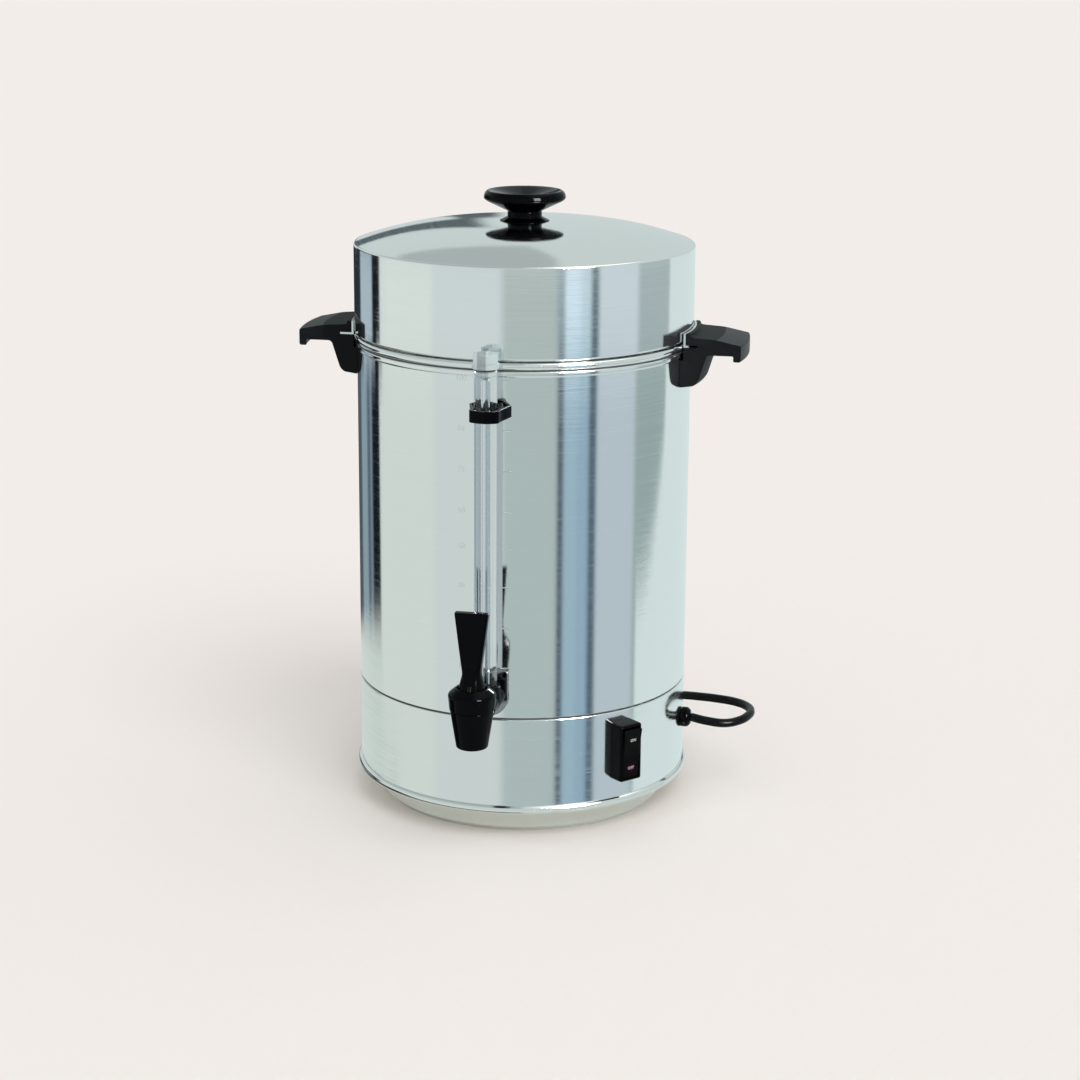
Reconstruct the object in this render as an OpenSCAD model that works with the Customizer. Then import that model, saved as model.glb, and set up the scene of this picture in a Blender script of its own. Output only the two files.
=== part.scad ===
// Percolating drinks urn of polished aluminium: a tank on a base skirt, a deep lid with a knob,
// two side handles, a sight gauge, a lift-valve faucet, a rocker switch and a mains cord.
// Millimetres. +Z is up, the faucet faces -Y, and the origin is on the axis at the underside of the foot.

/* [Tank] */
// Outside diameter of the tank wall
tank_d = 262; // [250:1:290]
// Height of the tank wall, from the seam to the crown of its rolled rim
tank_h = 275.4; // [240:0.2:320]
// Thickness of the drawn sheet
sheet = 1.2; // [0.8:0.1:1.6]
// Thickness of the rolled rim
rim_d = 5.6; // [4:0.2:7]
// How far the rolled rim stands out of the wall
rim_out = 2.4; // [1.6:0.2:2.8]
// Thickness of the small bead under the rim
collar_d = 3; // [2:0.2:4]
// Distance from the crown of the rim down to the middle of the small bead
collar_drop = 8.8; // [8:0.2:12]
// Height of the inside of the floor above the seam
floor_rise = 7; // [6:0.5:9]
// Diameter of the well in the floor
well_d = 48; // [44:1:50]
// Depth of the well
well_depth = 8; // [5:0.5:10]

/* [Base] */
// Height of the base skirt
skirt_h = 76; // [76:1:90]
// Thickness of the rolled bead at the bottom of the skirt
bead_d = 5.6; // [4:0.2:7]
// How far that bead stands out of the skirt
bead_out = 2.6; // [1.6:0.2:3]
// Height of the lip inside the tank that centres it on the skirt
lip_h = 4; // [2:0.5:4.5]
// Width of the open seam between tank and skirt
seam_gap = 0.6; // [0.3:0.1:1]
// How far the foot pan is set in from the skirt
foot_inset = 17.2; // [12:0.2:24]
// Height of the foot pan
foot_h = 22; // [16:0.5:30]
// Height of the rounding at the bottom edge of the foot pan
foot_round = 4; // [2:0.5:6]
// Number of studs that hold the base together
stud_count = 3; // [3:1:4]
// Diameter of a stud
stud_d = 5; // [4:0.5:6]
// Radius of the circle of studs
stud_circle = 88; // [80:1:92]
// Height of the heat shield above the foot pan
shield_rise = 42; // [36:1:42]
// Diameter of the heat shield
shield_d = 206; // [200:1:206]

/* [Lid] */
// How far the lid stands out of the tank wall
lid_out = 2; // [1:0.2:2.6]
// Height of the lid's side
lid_h = 71.5; // [68:0.5:90]
// Rise of the dome
dome_h = 17.2; // [12:0.2:30]
// Flatness of the dome: 2 is a round cap, more is flatter in the middle
dome_power = 2.9; // [2:0.1:4]
// Rounding at the lid's shoulder
shoulder = 2; // [1.5:0.5:4]
// Depth of the lip that goes into the tank
plug_h = 8; // [4:0.5:12]

/* [Knob] */
// Diameter of the knob
knob_d = 64.4; // [50:0.2:80]
// Diameter of the flat rim on top of the knob
knob_top_d = 58.4; // [40:0.2:60]
// Diameter of the neck
neck_d = 27; // [20:0.5:34]
// Height of the knob
knob_h = 21.5; // [18:0.5:34]
// Height of the neck
neck_h = 6; // [4:0.5:9]
// Depth of the dish in the top
dish = 5; // [2:0.5:6]
// Diameter of the flared guard under the knob
guard_d = 39; // [30:1:48]
// Height of the guard
guard_t = 2; // [1:0.25:3]
// Diameter of the knob's screw
knob_screw_d = 5; // [4:0.5:6]

/* [Handles] */
// Width of a handle
handle_w = 62; // [48:1:72]
// Reach of a handle from the tank wall
handle_out = 46; // [42:0.5:60]
// Thickness of the lip at the outer edge
grip_lip = 5.6; // [4:0.2:8]
// Depth of that lip below the underside of the grip
grip_lip_drop = 4.4; // [2:0.2:8]
// Thickness of the grip at its root
grip_t = 13.2; // [10:0.2:16]
// Drop of the grip's top from its root to its outer edge
grip_fall = 5.4; // [3:0.2:6.4]
// Height of the leg below the grip
leg_h = 25.6; // [20:0.2:34]
// Thickness of the leg at its root
leg_root = 22; // [18:0.5:26]
// Thickness of the leg at its foot
leg_foot = 10; // [8:0.5:14]
// Thickness of the upright collar beside the lid
upstand_t = 3.2; // [2:0.2:5]
// Thickness of the bracket's metal
bracket_t = 1.5; // [1:0.1:2]
// Height of the bracket's upright leg
bracket_h = 10.6; // [8:0.2:14]
// Reach of the bracket's flat leg into the handle
bracket_reach = 10.6; // [6:0.2:14]
// Diameter of a handle's screw
handle_screw_d = 6; // [5:0.5:7]

/* [Gauge] */
// Outside diameter of the sight tube
tube_d = 17.4; // [14:0.2:18]
// Bore of the sight tube
tube_bore = 7; // [5:0.2:9]
// Distance of the sight tube's axis from the tank wall
tube_out = 16; // [16:0.5:20]
// Height of the top of the sight tube above the crown of the rim
tube_over = 0.6; // [0:0.2:6]
// Solid length at the top of the tube
tube_plug = 9; // [6:0.5:14]
// Diameter of the vent
vent_d = 1.6; // [1:0.2:2.4]
// Diameter of the cap's flange
cap_d = 20.6; // [20:0.2:22]
// Height of the cap's flange
cap_flange_h = 4.6; // [3:0.2:6]
// Height of the cap above its flange
cap_h = 6.8; // [4:0.2:9]
// Width across the flats of the cap
cap_flats = 18.6; // [16:0.2:19]
// Height of the clip
clip_h = 9.6; // [6:0.2:14]
// Thickness of the clip
clip_t = 2.4; // [1.4:0.2:3]
// Distance of the clip's middle below the top of the tube
clip_drop = 35.6; // [26:0.2:60]
// Half width of the clip at the tank wall
clip_foot = 14; // [14:0.5:20]

/* [Faucet] */
// Height of the shank's axis above the tank floor
shank_rise = 12; // [12:0.5:18]
// Outside diameter of the shank
shank_d = 22; // [20:0.5:22.5]
// Bore of the shank
shank_bore = 9; // [7:0.5:10]
// Diameter of the threaded end inside the tank
thread_d = 18; // [15:0.5:19]
// Diameter of the boss that holds the sight tube
boss_d = 23; // [21.5:0.5:26]
// Height of the boss above the shank's axis
boss_h = 13.3; // [12:0.1:16]
// Height of the saddle plate above the shank's axis
saddle_h = 20.8; // [16:0.1:21]
// Distance of the spout from the tank wall
spout_out = 64; // [60:0.5:75]
// Diameter of the spout at its bottom
spout_d = 23.5; // [20:0.5:25]
// Diameter of the body at the bonnet
body_d = 33; // [31:0.5:34]
// Outside diameter of the body's inlet
inlet_d = 19; // [16:0.5:19.5]
// Height of the bonnet's seat above the shank's axis
body_rise = 10; // [10:0.5:14]
// Length of the spout below the shank's axis
spout_drop = 19.5; // [19:0.5:24]
// Outlet bore
outlet_d = 12; // [8:0.5:13]
// Bore of the valve chamber
chamber_d = 20; // [18:0.5:20.5]
// Diameter of the bonnet
bonnet_d = 36.4; // [35:0.2:40]
// Height of the bonnet
bonnet_h = 13.7; // [12:0.1:18]
// Diameter of the valve stem
stem_d = 5; // [4:0.5:5]
// Lift of the valve stem
stem_lift = 6; // [4:0.5:6]
// Width of the lever at its top
lever_top_w = 25.6; // [18:0.2:32]
// Width of the lever at its neck
lever_neck_w = 13.8; // [12:0.2:16]
// Height of the lever above its base cone
lever_h = 46; // [30:0.5:60]
// Thickness of the lever at its top
lever_t = 6; // [4:0.5:8]
// Diameter of the lever's base cone
lever_base_d = 21; // [19:0.2:21]
// Height of the lever's base cone
lever_base_h = 13.4; // [12:0.2:18]
// Diameter of the lever's pin
lever_pin_d = 3; // [2:0.25:3]

/* [Switch] */
// Angle of the switch round the urn from the faucet
switch_angle = 47; // [40:1:60]
// Width of the switch
switch_w = 20.6; // [18:0.2:26]
// Height of the switch
switch_h = 45.6; // [40:0.2:50]
// Depth of the housing in front of the skirt
switch_out = 12.6; // [11:0.2:14]
// Height of the middle of the switch above the foot pan
switch_rise = 44.2; // [42:0.2:48]
// Thickness of the housing's frame
frame_t = 1.6; // [1.2:0.1:2.4]
// Tilt of the rocker to each side
rocker_tilt = 6; // [4:0.5:8]
// Diameter of the rocker's pin
rocker_pin_d = 3; // [2:0.25:3.5]

/* [Cord] */
// Diameter of the mains cord
cord_d = 7; // [6:0.2:7]
// Diameter of the strain relief's head
relief_d = 16; // [14:0.2:18]
// Length of the strain relief's head
relief_out = 7.5; // [5:0.5:7.5]
// Diameter of the hole in the skirt for the strain relief
relief_hole_d = 12.6; // [11:0.2:13]
// Height of the cord's exit above the foot pan
cord_rise = 43; // [43:1:48]
// Outer radius of the put-away coil, to the middle of the cord
coil_r = 42; // [40:1:46]
// Gap between the turns of the coil
coil_gap = 0.6; // [0.5:0.1:1]
// Width of the tie round the coil
tie_w = 8; // [5:0.5:10]
// Thickness of the tie
tie_t = 0.8; // [0.6:0.1:0.9]
// Width of the plug
plug_w = 27; // [24:0.5:32]
// Thickness of the plug
plug_t = 22; // [18:0.5:24]
// Length of the plug
plug_l = 30; // [24:0.5:36]

/* [Pump and basket] */
// Outside diameter of the pump tube
pump_d = 10; // [8:0.5:12]
// Height of the top of the pump tube above the crown of the tank's rim
pump_over = 40; // [30:1:42]
// Diameter of the pump's bell
bell_d = 42; // [36:0.5:43]
// Height of the pump's bell
bell_h = 26; // [18:0.5:34]
// Diameter of the coffee basket
basket_d = 212; // [180:1:226]
// Height of the basket
basket_h = 92; // [60:1:96]
// Height of the top of the basket above the crown of the tank's rim
basket_over = 20; // [10:1:22]
// Thickness of the basket's sheet
basket_t = 1; // [0.6:0.1:1.4]
// Rings of holes in the basket floor
hole_rings = 3; // [2:1:4]
// Diameter of a hole in the basket
hole_d = 3; // [2:0.25:4]

/* [Heater] */
// Diameter of the heating element's ring
ring_d = 120; // [116:1:140]
// Thickness of the heating element
rod_d = 8; // [6:0.5:9]
// Diameter of the thermostat
stat_d = 17; // [14:0.5:18]
// Height of the thermostat
stat_h = 10; // [8:0.5:14]
// Diameter of a wire
wire_d = 2.4; // [2:0.2:3]

/* [Hidden] */
$fn = 96;
// Facets of a cut that follows the tank wall
wall_facets = 720;
// Room between pieces that sit against each other without moving
fit = 0.2;
// Room round pieces that slide or turn past their neighbours
slip = 0.4;
// Radial room of a pin in its bore
running = 0.05;
// Overlap of cutting shapes past a face
cut = 1;

// Heights and radii of the shell
tank_r = tank_d / 2;
inner_r = tank_r - sheet;
seam_z = foot_h + skirt_h;
rim_z = seam_z + tank_h;
rim_r = tank_r + rim_out - rim_d / 2;
rim_outer_r = tank_r + rim_out;
rim_inner_r = rim_r - rim_d / 2;
collar_z = rim_z - collar_drop;
collar_r = tank_r + 1.3 - collar_d / 2;
floor_z = seam_z + floor_rise;
floor_under = floor_z - sheet;
well_z = floor_z - well_depth;
bead_r = tank_r + bead_out - bead_d / 2;
foot_r = tank_r - foot_inset;
shield_z = foot_h + shield_rise;

// Lid levels
lid_r = tank_r + lid_out;
lid_z = rim_z + fit;
plug_r = rim_inner_r - slip;
shoulder_z = lid_z + lid_h;
top_z = shoulder_z + dome_h;
under_z = top_z - sheet;
dome_steps = 14;
function dome_z(r) = shoulder_z + dome_h * (1 - pow(r / lid_r, dome_power));

// Knob levels
guard_z = top_z;
knob_z = guard_z + guard_t;
knob_rim_h = 0.2 * knob_h;
screw_head_h = 3.2;
washer_t = 1.2;
washer_z = under_z - washer_t - running;

// Handle levels: the bracket's flat leg lies just above the crown of the rim
bracket_z = rim_z - 0.6;
bracket_r = max(lid_r, rim_outer_r) + slip;
bracket_top = bracket_z + bracket_h;
slot_reach = bracket_r + bracket_reach;
handle_reach = tank_r + handle_out;
upstand_r = bracket_r + bracket_t + fit;
grip_z = bracket_z - 6;
grip_top = grip_z + grip_t;
grip_edge = grip_top - grip_fall;
leg_z = grip_z - leg_h;
leg_clear_z = collar_z - collar_d / 2 - slip;
handle_screw_z = leg_z + leg_h / 2 - 1;
seal_t = 1.6;

// Gauge levels
shank_z = floor_z + shank_rise;
socket_h = 6.3;
seal_h = 2;
tube_y = tank_r + tube_out;
tube_z = shank_z + boss_h - socket_h;
tube_top = rim_z + tube_over;
tube_h = tube_top - tube_z;
seal_z = tube_z - seal_h;
bore_top = tube_top - tube_plug;
cap_z = tube_top - 1;
clip_z = tube_top - clip_drop;
clip_front = tube_y + tube_d / 2 + fit;
clip_half = tube_d / 2 + fit;
clip_cut = 1;

// Faucet levels
spout_y = tank_r + spout_out;
spout_z = shank_z - spout_drop;
step_z = shank_z + body_rise;
body_h = step_z - spout_z;
bonnet_z = step_z + fit;
bonnet_top = bonnet_z + bonnet_h;
bonnet_wall = 4;
bonnet_collar_h = 2.8;
bonnet_collar_r = lever_base_d / 2 + 0.9;
bonnet_collar_t = 0.8;
seat_z = spout_z + 8.5;
neck_r = bonnet_d / 2 - 5;
joint_y = tube_y + boss_d / 2 + 5;
spigot_d = shank_bore + 5;
spigot_l = 8;
flange_t = 3;
flange_d = shank_d + 8;
saddle_w = flange_d - 0.8;
gasket_t = 2;
nut_t = 7;
shank_nut_flats = thread_d + 5;
gasket_seat = sqrt(pow(inner_r, 2) - pow(shank_nut_flats / 2, 2)) - fit / 2;
shank_wall_y = tank_r + gasket_t;
cup_d = chamber_d - 3;
cup_h = 6;
cup_z = seat_z + fit;
stem_z = cup_z + 1.5;
lever_z = bonnet_top + 0.7;
pin_z = lever_z + 5.3;
stem_top = pin_z + 2.6;
spring_z = cup_z + cup_h + fit;
spring_top = bonnet_top - bonnet_wall - fit;
spring_d = stem_d + 6;
lever_neck_z = lever_z + lever_base_h;
lever_neck_t = 10;

// Switch levels, measured outward from the urn's axis
switch_z = foot_h + switch_rise;
switch_front = tank_r + switch_out;
rocker_room = 0.4;
rocker_w = switch_w - 2 * frame_t - 2 * rocker_room;
rocker_h = switch_h - 2 * frame_t - 2 * rocker_room - 1.2;
rocker_axis = switch_front - 4.5;
rocker_crown = 5.4;
cell_depth = 20;
cell_w = switch_w - 4;
cell_h = switch_h - 7;

// Cord route from the strain relief round behind the urn, chosen by hand
relief_face = tank_r + relief_out;
cord_z = foot_h + cord_rise;
cord_route = [
    [relief_face, 0, cord_z], [152, 0, 62.5], [166, 2, 61], [176, 10, 61], [182, 23, 61],
    [183, 38, 60.5], [178, 53, 59.5], [167, 65, 58.5], [152, 74.5, 57], [136, 84.5, 54.5],
    [121, 96, 51], [107, 109, 46.5], [95, 123, 40.5], [84, 138, 33], [74, 153, 25],
    [64, 168, 17.5], [54, 182, 11], [44.5, 194, 7]
];
cord_sides = 10;

// Coil laid on the table behind the urn
coil_x = 0;
coil_y = 180;
coil_z = 5;
coil_start = 45;
coil_sides = 6;
coil_rings = 24;
coil_pitch = cord_d + coil_gap;
coil_turn_back = 1.25;
function coil_radius(t) = coil_r - coil_pitch * (t < coil_turn_back ? t : 2 * coil_turn_back - t);
function coil_height(t) = coil_z + coil_pitch * min(1, max(0, (t - coil_turn_back + 0.25) / 0.5));
function coil_point(t) = [
    coil_x + coil_radius(t) * cos(coil_start + 360 * t),
    coil_y + coil_radius(t) * sin(coil_start + 360 * t),
    coil_height(t)
];
function coil_heading(t) = [-sin(coil_start + 360 * t), cos(coil_start + 360 * t), 0];
coil_turns = 2.25;
coil_count = round(coil_turns * coil_rings);
coil_first = coil_point(0) - cord_d * coil_heading(0);
plug_neck = 12;
coil_clear = coil_r + cord_d / 2 + coil_gap;
coil_run = sqrt(pow(coil_clear, 2) - pow(coil_radius(coil_turns) - plug_w / 2, 2)) - plug_neck;
coil_last = coil_point(coil_turns) + coil_run * coil_heading(coil_turns);
coil_path = [
    coil_first,
    for (i = [0:coil_count]) coil_point(i / coil_rings),
    coil_point(coil_turns) + coil_run / 2 * coil_heading(coil_turns),
    coil_last
];
tie_room = 0.5;
tie_turn = 0.75;
tie_angle = coil_start + 360 * tie_turn;

// Least gap between turns of the coil, measured on its points half a turn or more apart
coil_least = min([
    for (i = [0:coil_count])
        for (j = [i + coil_rings / 2:1:coil_count])
            norm(coil_path[i + 1] - coil_path[j + 1])
]) - cord_d;
echo(coil_gap_to_itself = coil_least);

// Plug at the end of the coil
plug_heading = coil_start + 360 * coil_turns + 90;
blade_l = 16;
blade_w = 6.4;
blade_t = 1.5;
blade_gap = 12.7;

// Pump and basket levels
bell_z = well_z + fit;
pump_top = rim_z + pump_over;
basket_top = rim_z + basket_over;
basket_z = basket_top - basket_h;
pump_bore = pump_d - 2;
stop_h = 3;
stop_d = pump_d + 8;
sleeve_d = pump_d + 2 * slip + 2 * basket_t;
cover_d = basket_d + 4;
cover_lip = 4;

// Heater levels
ring_z = floor_under - rod_d / 2 - fit;
ring_gap = 40;
cold_l = 22;
between_r = (well_d / 2 + sheet + ring_d / 2 - rod_d / 2) / 2;
stat_flange = 2;
fuse_d = 4;
fuse_l = 14;
wire_steps = 12;
wire_sides = 8;
spacer_d = stud_d + 4;
shield_t = 0.8;
nut_flats = 1.6 * stud_d;
stud_nut_h = 0.8 * stud_d;
cup_recess_d = 18;
cup_recess_h = 8;
stud_start = 60;

// Wire ends
relief_inner = inner_r - 8;
switch_back = switch_front - switch_out - cell_depth;
terminal_l = 8;
tab_step = 12;

// Ring with the given inside and outside radii between two heights
module ring(inside, outside, low, high) {
    rotate_extrude()
        translate([inside, low])
            square([outside - inside, high - low]);
}

// Round bead whose section is a circle at radius r and height z
module bead(r, d, z) {
    rotate_extrude()
        translate([r, z])
            circle(d = d);
}

// Cylinder along -Y, from one distance from the urn's axis to another
module outward(d, from, to) {
    translate([0, -from, 0])
        rotate([90, 0, 0])
            cylinder(d = d, h = to - from);
}

// Plate on the tank's wall: a disc about the shank's axis with a square top
module saddle(from, to) {
    outward(flange_d, from, to);
    translate([-saddle_w / 2, -to, 0])
        cube([saddle_w, to - from, saddle_h]);
}

// Hexagonal prism along +Z, measured across its flats
module hexagon(flats, h) {
    cylinder(d = flats / cos(30), h = h, $fn = 6);
}

// Puts a copy at each stud
module at_studs() {
    for (i = [0:stud_count - 1])
        rotate([0, 0, stud_start + i * 360 / stud_count])
            translate([stud_circle, 0, 0])
                children();
}

// Turns the faucet's direction to the switch
module at_switch() {
    rotate([0, 0, switch_angle])
        translate([0, 0, switch_z])
            children();
}

// Moves to the spout's axis
module at_spout() {
    translate([0, -spout_y, 0])
        children();
}

// Moves to the sight tube's axis
module at_tube() {
    translate([0, -tube_y, 0])
        children();
}

// Direction of a path at one of its points
function path_heading(path, i) =
    let (
        before = path[max(0, i - 1)],
        after = path[min(len(path) - 1, i + 1)]
    )
    (after - before) / norm(after - before);

// Tube swept along a path that is nowhere upright: a ring at each point, joined by triangles
module swept_tube(path, d, sides, first, last) {
    count = len(path);
    headings = [
        for (i = [0:count - 1])
            i == 0 ? first : i == count - 1 ? last : path_heading(path, i)
    ];
    rings = [
        for (i = [0:count - 1])
            let (
                flat = cross(headings[i], [0, 0, 1]),
                side = flat / norm(flat),
                rise = cross(side, headings[i])
            )
            for (k = [0:sides - 1])
                path[i] + d / 2 * (cos(360 * k / sides) * side + sin(360 * k / sides) * rise)
    ];
    walls = [
        for (i = [0:count - 2])
            for (k = [0:sides - 1])
                let (
                    a = i * sides + k,
                    b = i * sides + (k + 1) % sides
                )
                each [[a, b, b + sides], [a, b + sides, a + sides]]
    ];
    start_cap = [for (k = [1:sides - 2]) [0, k + 1, k]];
    last_ring = (count - 1) * sides;
    end_cap = [for (k = [1:sides - 2]) [last_ring, last_ring + k, last_ring + k + 1]];
    polyhedron(points = rings, faces = [for (f = concat(walls, start_cap, end_cap)) [f[2], f[1], f[0]]]);
}

// Shell

module tank() {
    color("silver")
        difference() {
            union() {
                rotate_extrude()
                    polygon([
                        [0, well_z - sheet], [well_d / 2 + sheet, well_z - sheet],
                        [well_d / 2 + sheet, floor_under], [inner_r, floor_under],
                        [inner_r, seam_z + seam_gap], [tank_r, seam_z + seam_gap],
                        [tank_r, rim_z - rim_d / 2], [inner_r, rim_z - rim_d / 2],
                        [inner_r, floor_z], [well_d / 2, floor_z],
                        [well_d / 2, well_z], [0, well_z]
                    ]);
                bead(rim_r, rim_d, rim_z - rim_d / 2);
                bead(collar_r, collar_d, collar_z);
            }
            translate([0, 0, shank_z])
                outward(thread_d + 2 * fit, inner_r - 10, tank_r + 10);
            for (turn = [90, 270])
                translate([0, 0, handle_screw_z])
                    rotate([0, 0, turn])
                        outward(handle_screw_d + 2 * fit, inner_r - 10, tank_r + 10);
        }
}

module base_skirt() {
    lip_r = inner_r - fit;
    color("silver")
        difference() {
            union() {
                rotate_extrude()
                    polygon([
                        [inner_r, foot_h + bead_d / 2], [tank_r, foot_h + bead_d / 2],
                        [tank_r, seam_z], [lip_r, seam_z], [lip_r, seam_z + lip_h],
                        [lip_r - sheet, seam_z + lip_h], [lip_r - sheet, seam_z - sheet],
                        [inner_r, seam_z - sheet]
                    ]);
                bead(bead_r, bead_d, foot_h + bead_d / 2);
            }
            translate([0, 0, cord_z])
                rotate([0, 0, 90])
                    outward(relief_hole_d, inner_r - 10, tank_r + 10);
            at_switch()
                translate([-cell_w / 2 - fit, -tank_r - 10, -cell_h / 2 - fit])
                    cube([cell_w + 2 * fit, sheet + 20, cell_h + 2 * fit]);
        }
}

module foot_pan() {
    flange_z = foot_h - fit;
    color("gainsboro")
        difference() {
            union() {
                rotate_extrude()
                    polygon([
                        [0, 0], [foot_r - foot_round, 0], [foot_r, foot_round],
                        [foot_r, flange_z - sheet], [tank_r, flange_z - sheet], [tank_r, flange_z],
                        [foot_r - sheet, flange_z], [foot_r - sheet, foot_round + sheet / 2],
                        [foot_r - foot_round - sheet / 2, sheet], [0, sheet]
                    ]);
                at_studs()
                    cylinder(d = cup_recess_d + 2 * sheet, h = cup_recess_h + sheet);
            }
            at_studs() {
                translate([0, 0, -cut])
                    cylinder(d = cup_recess_d, h = cup_recess_h + cut);
                cylinder(d = stud_d + 2 * fit, h = cup_recess_h + sheet + cut);
            }
        }
}

module base_studs() {
    color("dimgray")
        at_studs()
            translate([0, 0, cup_recess_h - stud_nut_h - 2])
                cylinder(d = stud_d, h = floor_under - cup_recess_h + stud_nut_h + 2);
}

// Nuts on the studs whose top faces lie at the given height
module stud_nuts(z) {
    at_studs()
        translate([0, 0, z - stud_nut_h])
            difference() {
                hexagon(nut_flats, stud_nut_h);
                translate([0, 0, -cut])
                    cylinder(d = stud_d + 2 * running, h = stud_nut_h + 2 * cut);
            }
}

module base_nuts() {
    color("darkgray")
        stud_nuts(cup_recess_h);
}

module shield_nuts() {
    color("darkgray")
        stud_nuts(shield_z);
}

module heat_shield() {
    color("lightgray")
        translate([0, 0, shield_z])
            difference() {
                cylinder(d = shield_d, h = shield_t);
                at_studs()
                    translate([0, 0, -cut])
                        cylinder(d = stud_d + 2 * fit, h = shield_t + 2 * cut);
            }
}

module shield_spacers() {
    low = shield_z + shield_t;
    color("gray")
        at_studs()
            translate([0, 0, low])
                difference() {
                    cylinder(d = spacer_d, h = floor_under - low);
                    translate([0, 0, -cut])
                        cylinder(d = stud_d + 2 * fit, h = floor_under - low + 2 * cut);
                }
}

// Heater and wiring

module heating_element() {
    color("slategray")
        translate([0, 0, ring_z]) {
            rotate([0, 0, ring_gap / 2])
                rotate_extrude(angle = 360 - ring_gap)
                    translate([ring_d / 2, 0])
                        circle(d = rod_d);
            for (side = [-1, 1])
                rotate([0, 0, side * ring_gap / 2])
                    translate([ring_d / 2, 0, -cold_l])
                        cylinder(d = rod_d, h = cold_l);
        }
}

module thermostat() {
    color("ivory")
        translate([-between_r, 0, floor_under - stat_h]) {
            cylinder(d = stat_d, h = stat_h);
            translate([0, 0, stat_h - stat_flange])
                cylinder(d = stat_d + 6, h = stat_flange);
        }
}

module thermal_fuse() {
    color("khaki")
        translate([-fuse_l / 2, between_r, floor_under - fuse_d / 2 - fit])
            rotate([0, 90, 0])
                cylinder(d = fuse_d, h = fuse_l);
}

// Curve from one point to another that leaves and arrives along the given directions
function wire_path(from, leave, to, arrive) =
    let (
        pull = 0.4 * norm(to - from),
        second = from + pull * leave,
        third = to - pull * arrive
    )
    [
        for (i = [0:wire_steps])
            let (
                t = i / wire_steps,
                s = 1 - t
            )
            s * s * s * from + 3 * s * s * t * second + 3 * s * t * t * third + t * t * t * to
    ];

// One wire, swept along that curve
module wire(from, leave, to, arrive) {
    swept_tube(wire_path(from, leave, to, arrive), wire_d, wire_sides, leave, arrive);
}

module wires() {
    cold_x = ring_d / 2 * cos(ring_gap / 2);
    cold_y = ring_d / 2 * sin(ring_gap / 2);
    cold_z = ring_z - cold_l + wire_d;
    cold_side = rod_d / 2 + fit;
    lead = wire_d + 1;
    tab_r = switch_back - terminal_l;
    tab_out = [sin(switch_angle), -cos(switch_angle), 0];
    tab = tab_r * tab_out + [0, 0, switch_z];
    stat_side = stat_d / 2 + fit;
    stat_z = floor_under - stat_h + wire_d;
    fuse_z = floor_under - fuse_d / 2 - fit;
    color("firebrick") {
        wire([relief_inner, lead, cord_z], [-1, 0, 0], [cold_x + cold_side, -cold_y, cold_z], [-1, 0, 0]);
        wire([relief_inner, -lead, cord_z], [-1, 0, 0], tab + [0, 0, tab_step], tab_out);
        wire(tab, -tab_out, [-between_r, -stat_side, stat_z], [0, 1, 0]);
        wire([-between_r, stat_side, stat_z], [0, 1, 0], [-fuse_l / 2, between_r, fuse_z], [1, 0, 0]);
        wire([fuse_l / 2, between_r, fuse_z], [1, 0, 0], [cold_x - cold_side, cold_y, cold_z], [1, 0, 0]);
    }
}

// Lid

module lid() {
    inner_lid = lid_r - sheet;
    outside = [
        for (i = [dome_steps:-1:0])
            let (r = (lid_r - shoulder) * i / dome_steps)
            [r, dome_z(r)]
    ];
    inside = [
        for (i = [0:dome_steps])
            let (r = (inner_lid - shoulder) * i / dome_steps)
            [r, dome_z(r) - sheet]
    ];
    color("silver")
        difference() {
            rotate_extrude()
                polygon(concat(
                    [
                        [plug_r - sheet, lid_z - plug_h], [plug_r, lid_z - plug_h], [plug_r, lid_z],
                        [lid_r - sheet, lid_z], [lid_r, lid_z + sheet], [lid_r, shoulder_z - shoulder / 2]
                    ],
                    outside,
                    inside,
                    [
                        [inner_lid, shoulder_z - shoulder / 2 - sheet], [inner_lid, lid_z + 2 * sheet],
                        [inner_lid - sheet, lid_z + sheet], [plug_r - sheet, lid_z + sheet]
                    ]
                ));
            translate([0, 0, under_z - cut])
                cylinder(d = knob_screw_d + 2 * fit, h = sheet + 2 * cut);
        }
}

module lid_knob() {
    rim_low = knob_h - knob_rim_h;
    color("black")
        translate([0, 0, knob_z])
            difference() {
                rotate_extrude()
                    polygon([
                        [0, 0], [neck_d / 2, 0], [neck_d / 2, neck_h], [knob_d / 2 - 1, rim_low - 1],
                        [knob_d / 2, rim_low], [knob_d / 2 - 0.5, rim_low + 1.2],
                        [knob_top_d / 2, knob_h], [knob_top_d / 2 - 4, knob_h - 0.6],
                        [knob_top_d / 4, knob_h - 0.7 * dish], [knob_top_d / 8, knob_h - dish],
                        [0, knob_h - dish]
                    ]);
                translate([0, 0, -cut])
                    cylinder(d = knob_screw_d, h = knob_h - dish - 4 + cut);
            }
}

module knob_guard() {
    color("black")
        translate([0, 0, guard_z])
            difference() {
                cylinder(d1 = guard_d, d2 = neck_d + guard_t, h = guard_t);
                translate([0, 0, -cut])
                    cylinder(d = knob_screw_d + 2 * fit, h = guard_t + 2 * cut);
            }
}

module knob_screw() {
    head_z = washer_z - screw_head_h;
    tip_z = knob_z + knob_h - dish - 5;
    color("lightgray")
        translate([0, 0, head_z]) {
            cylinder(d = 2 * knob_screw_d, h = screw_head_h);
            cylinder(d = knob_screw_d - 2 * running, h = tip_z - head_z);
        }
}

module knob_washer() {
    color("gray")
        translate([0, 0, washer_z])
            difference() {
                cylinder(d = 3 * knob_screw_d, h = washer_t);
                translate([0, 0, -cut])
                    cylinder(d = knob_screw_d + 2 * fit, h = washer_t + 2 * cut);
            }
}

// Handles: a section turned about the urn's axis and cut to a straight-sided width

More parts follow.
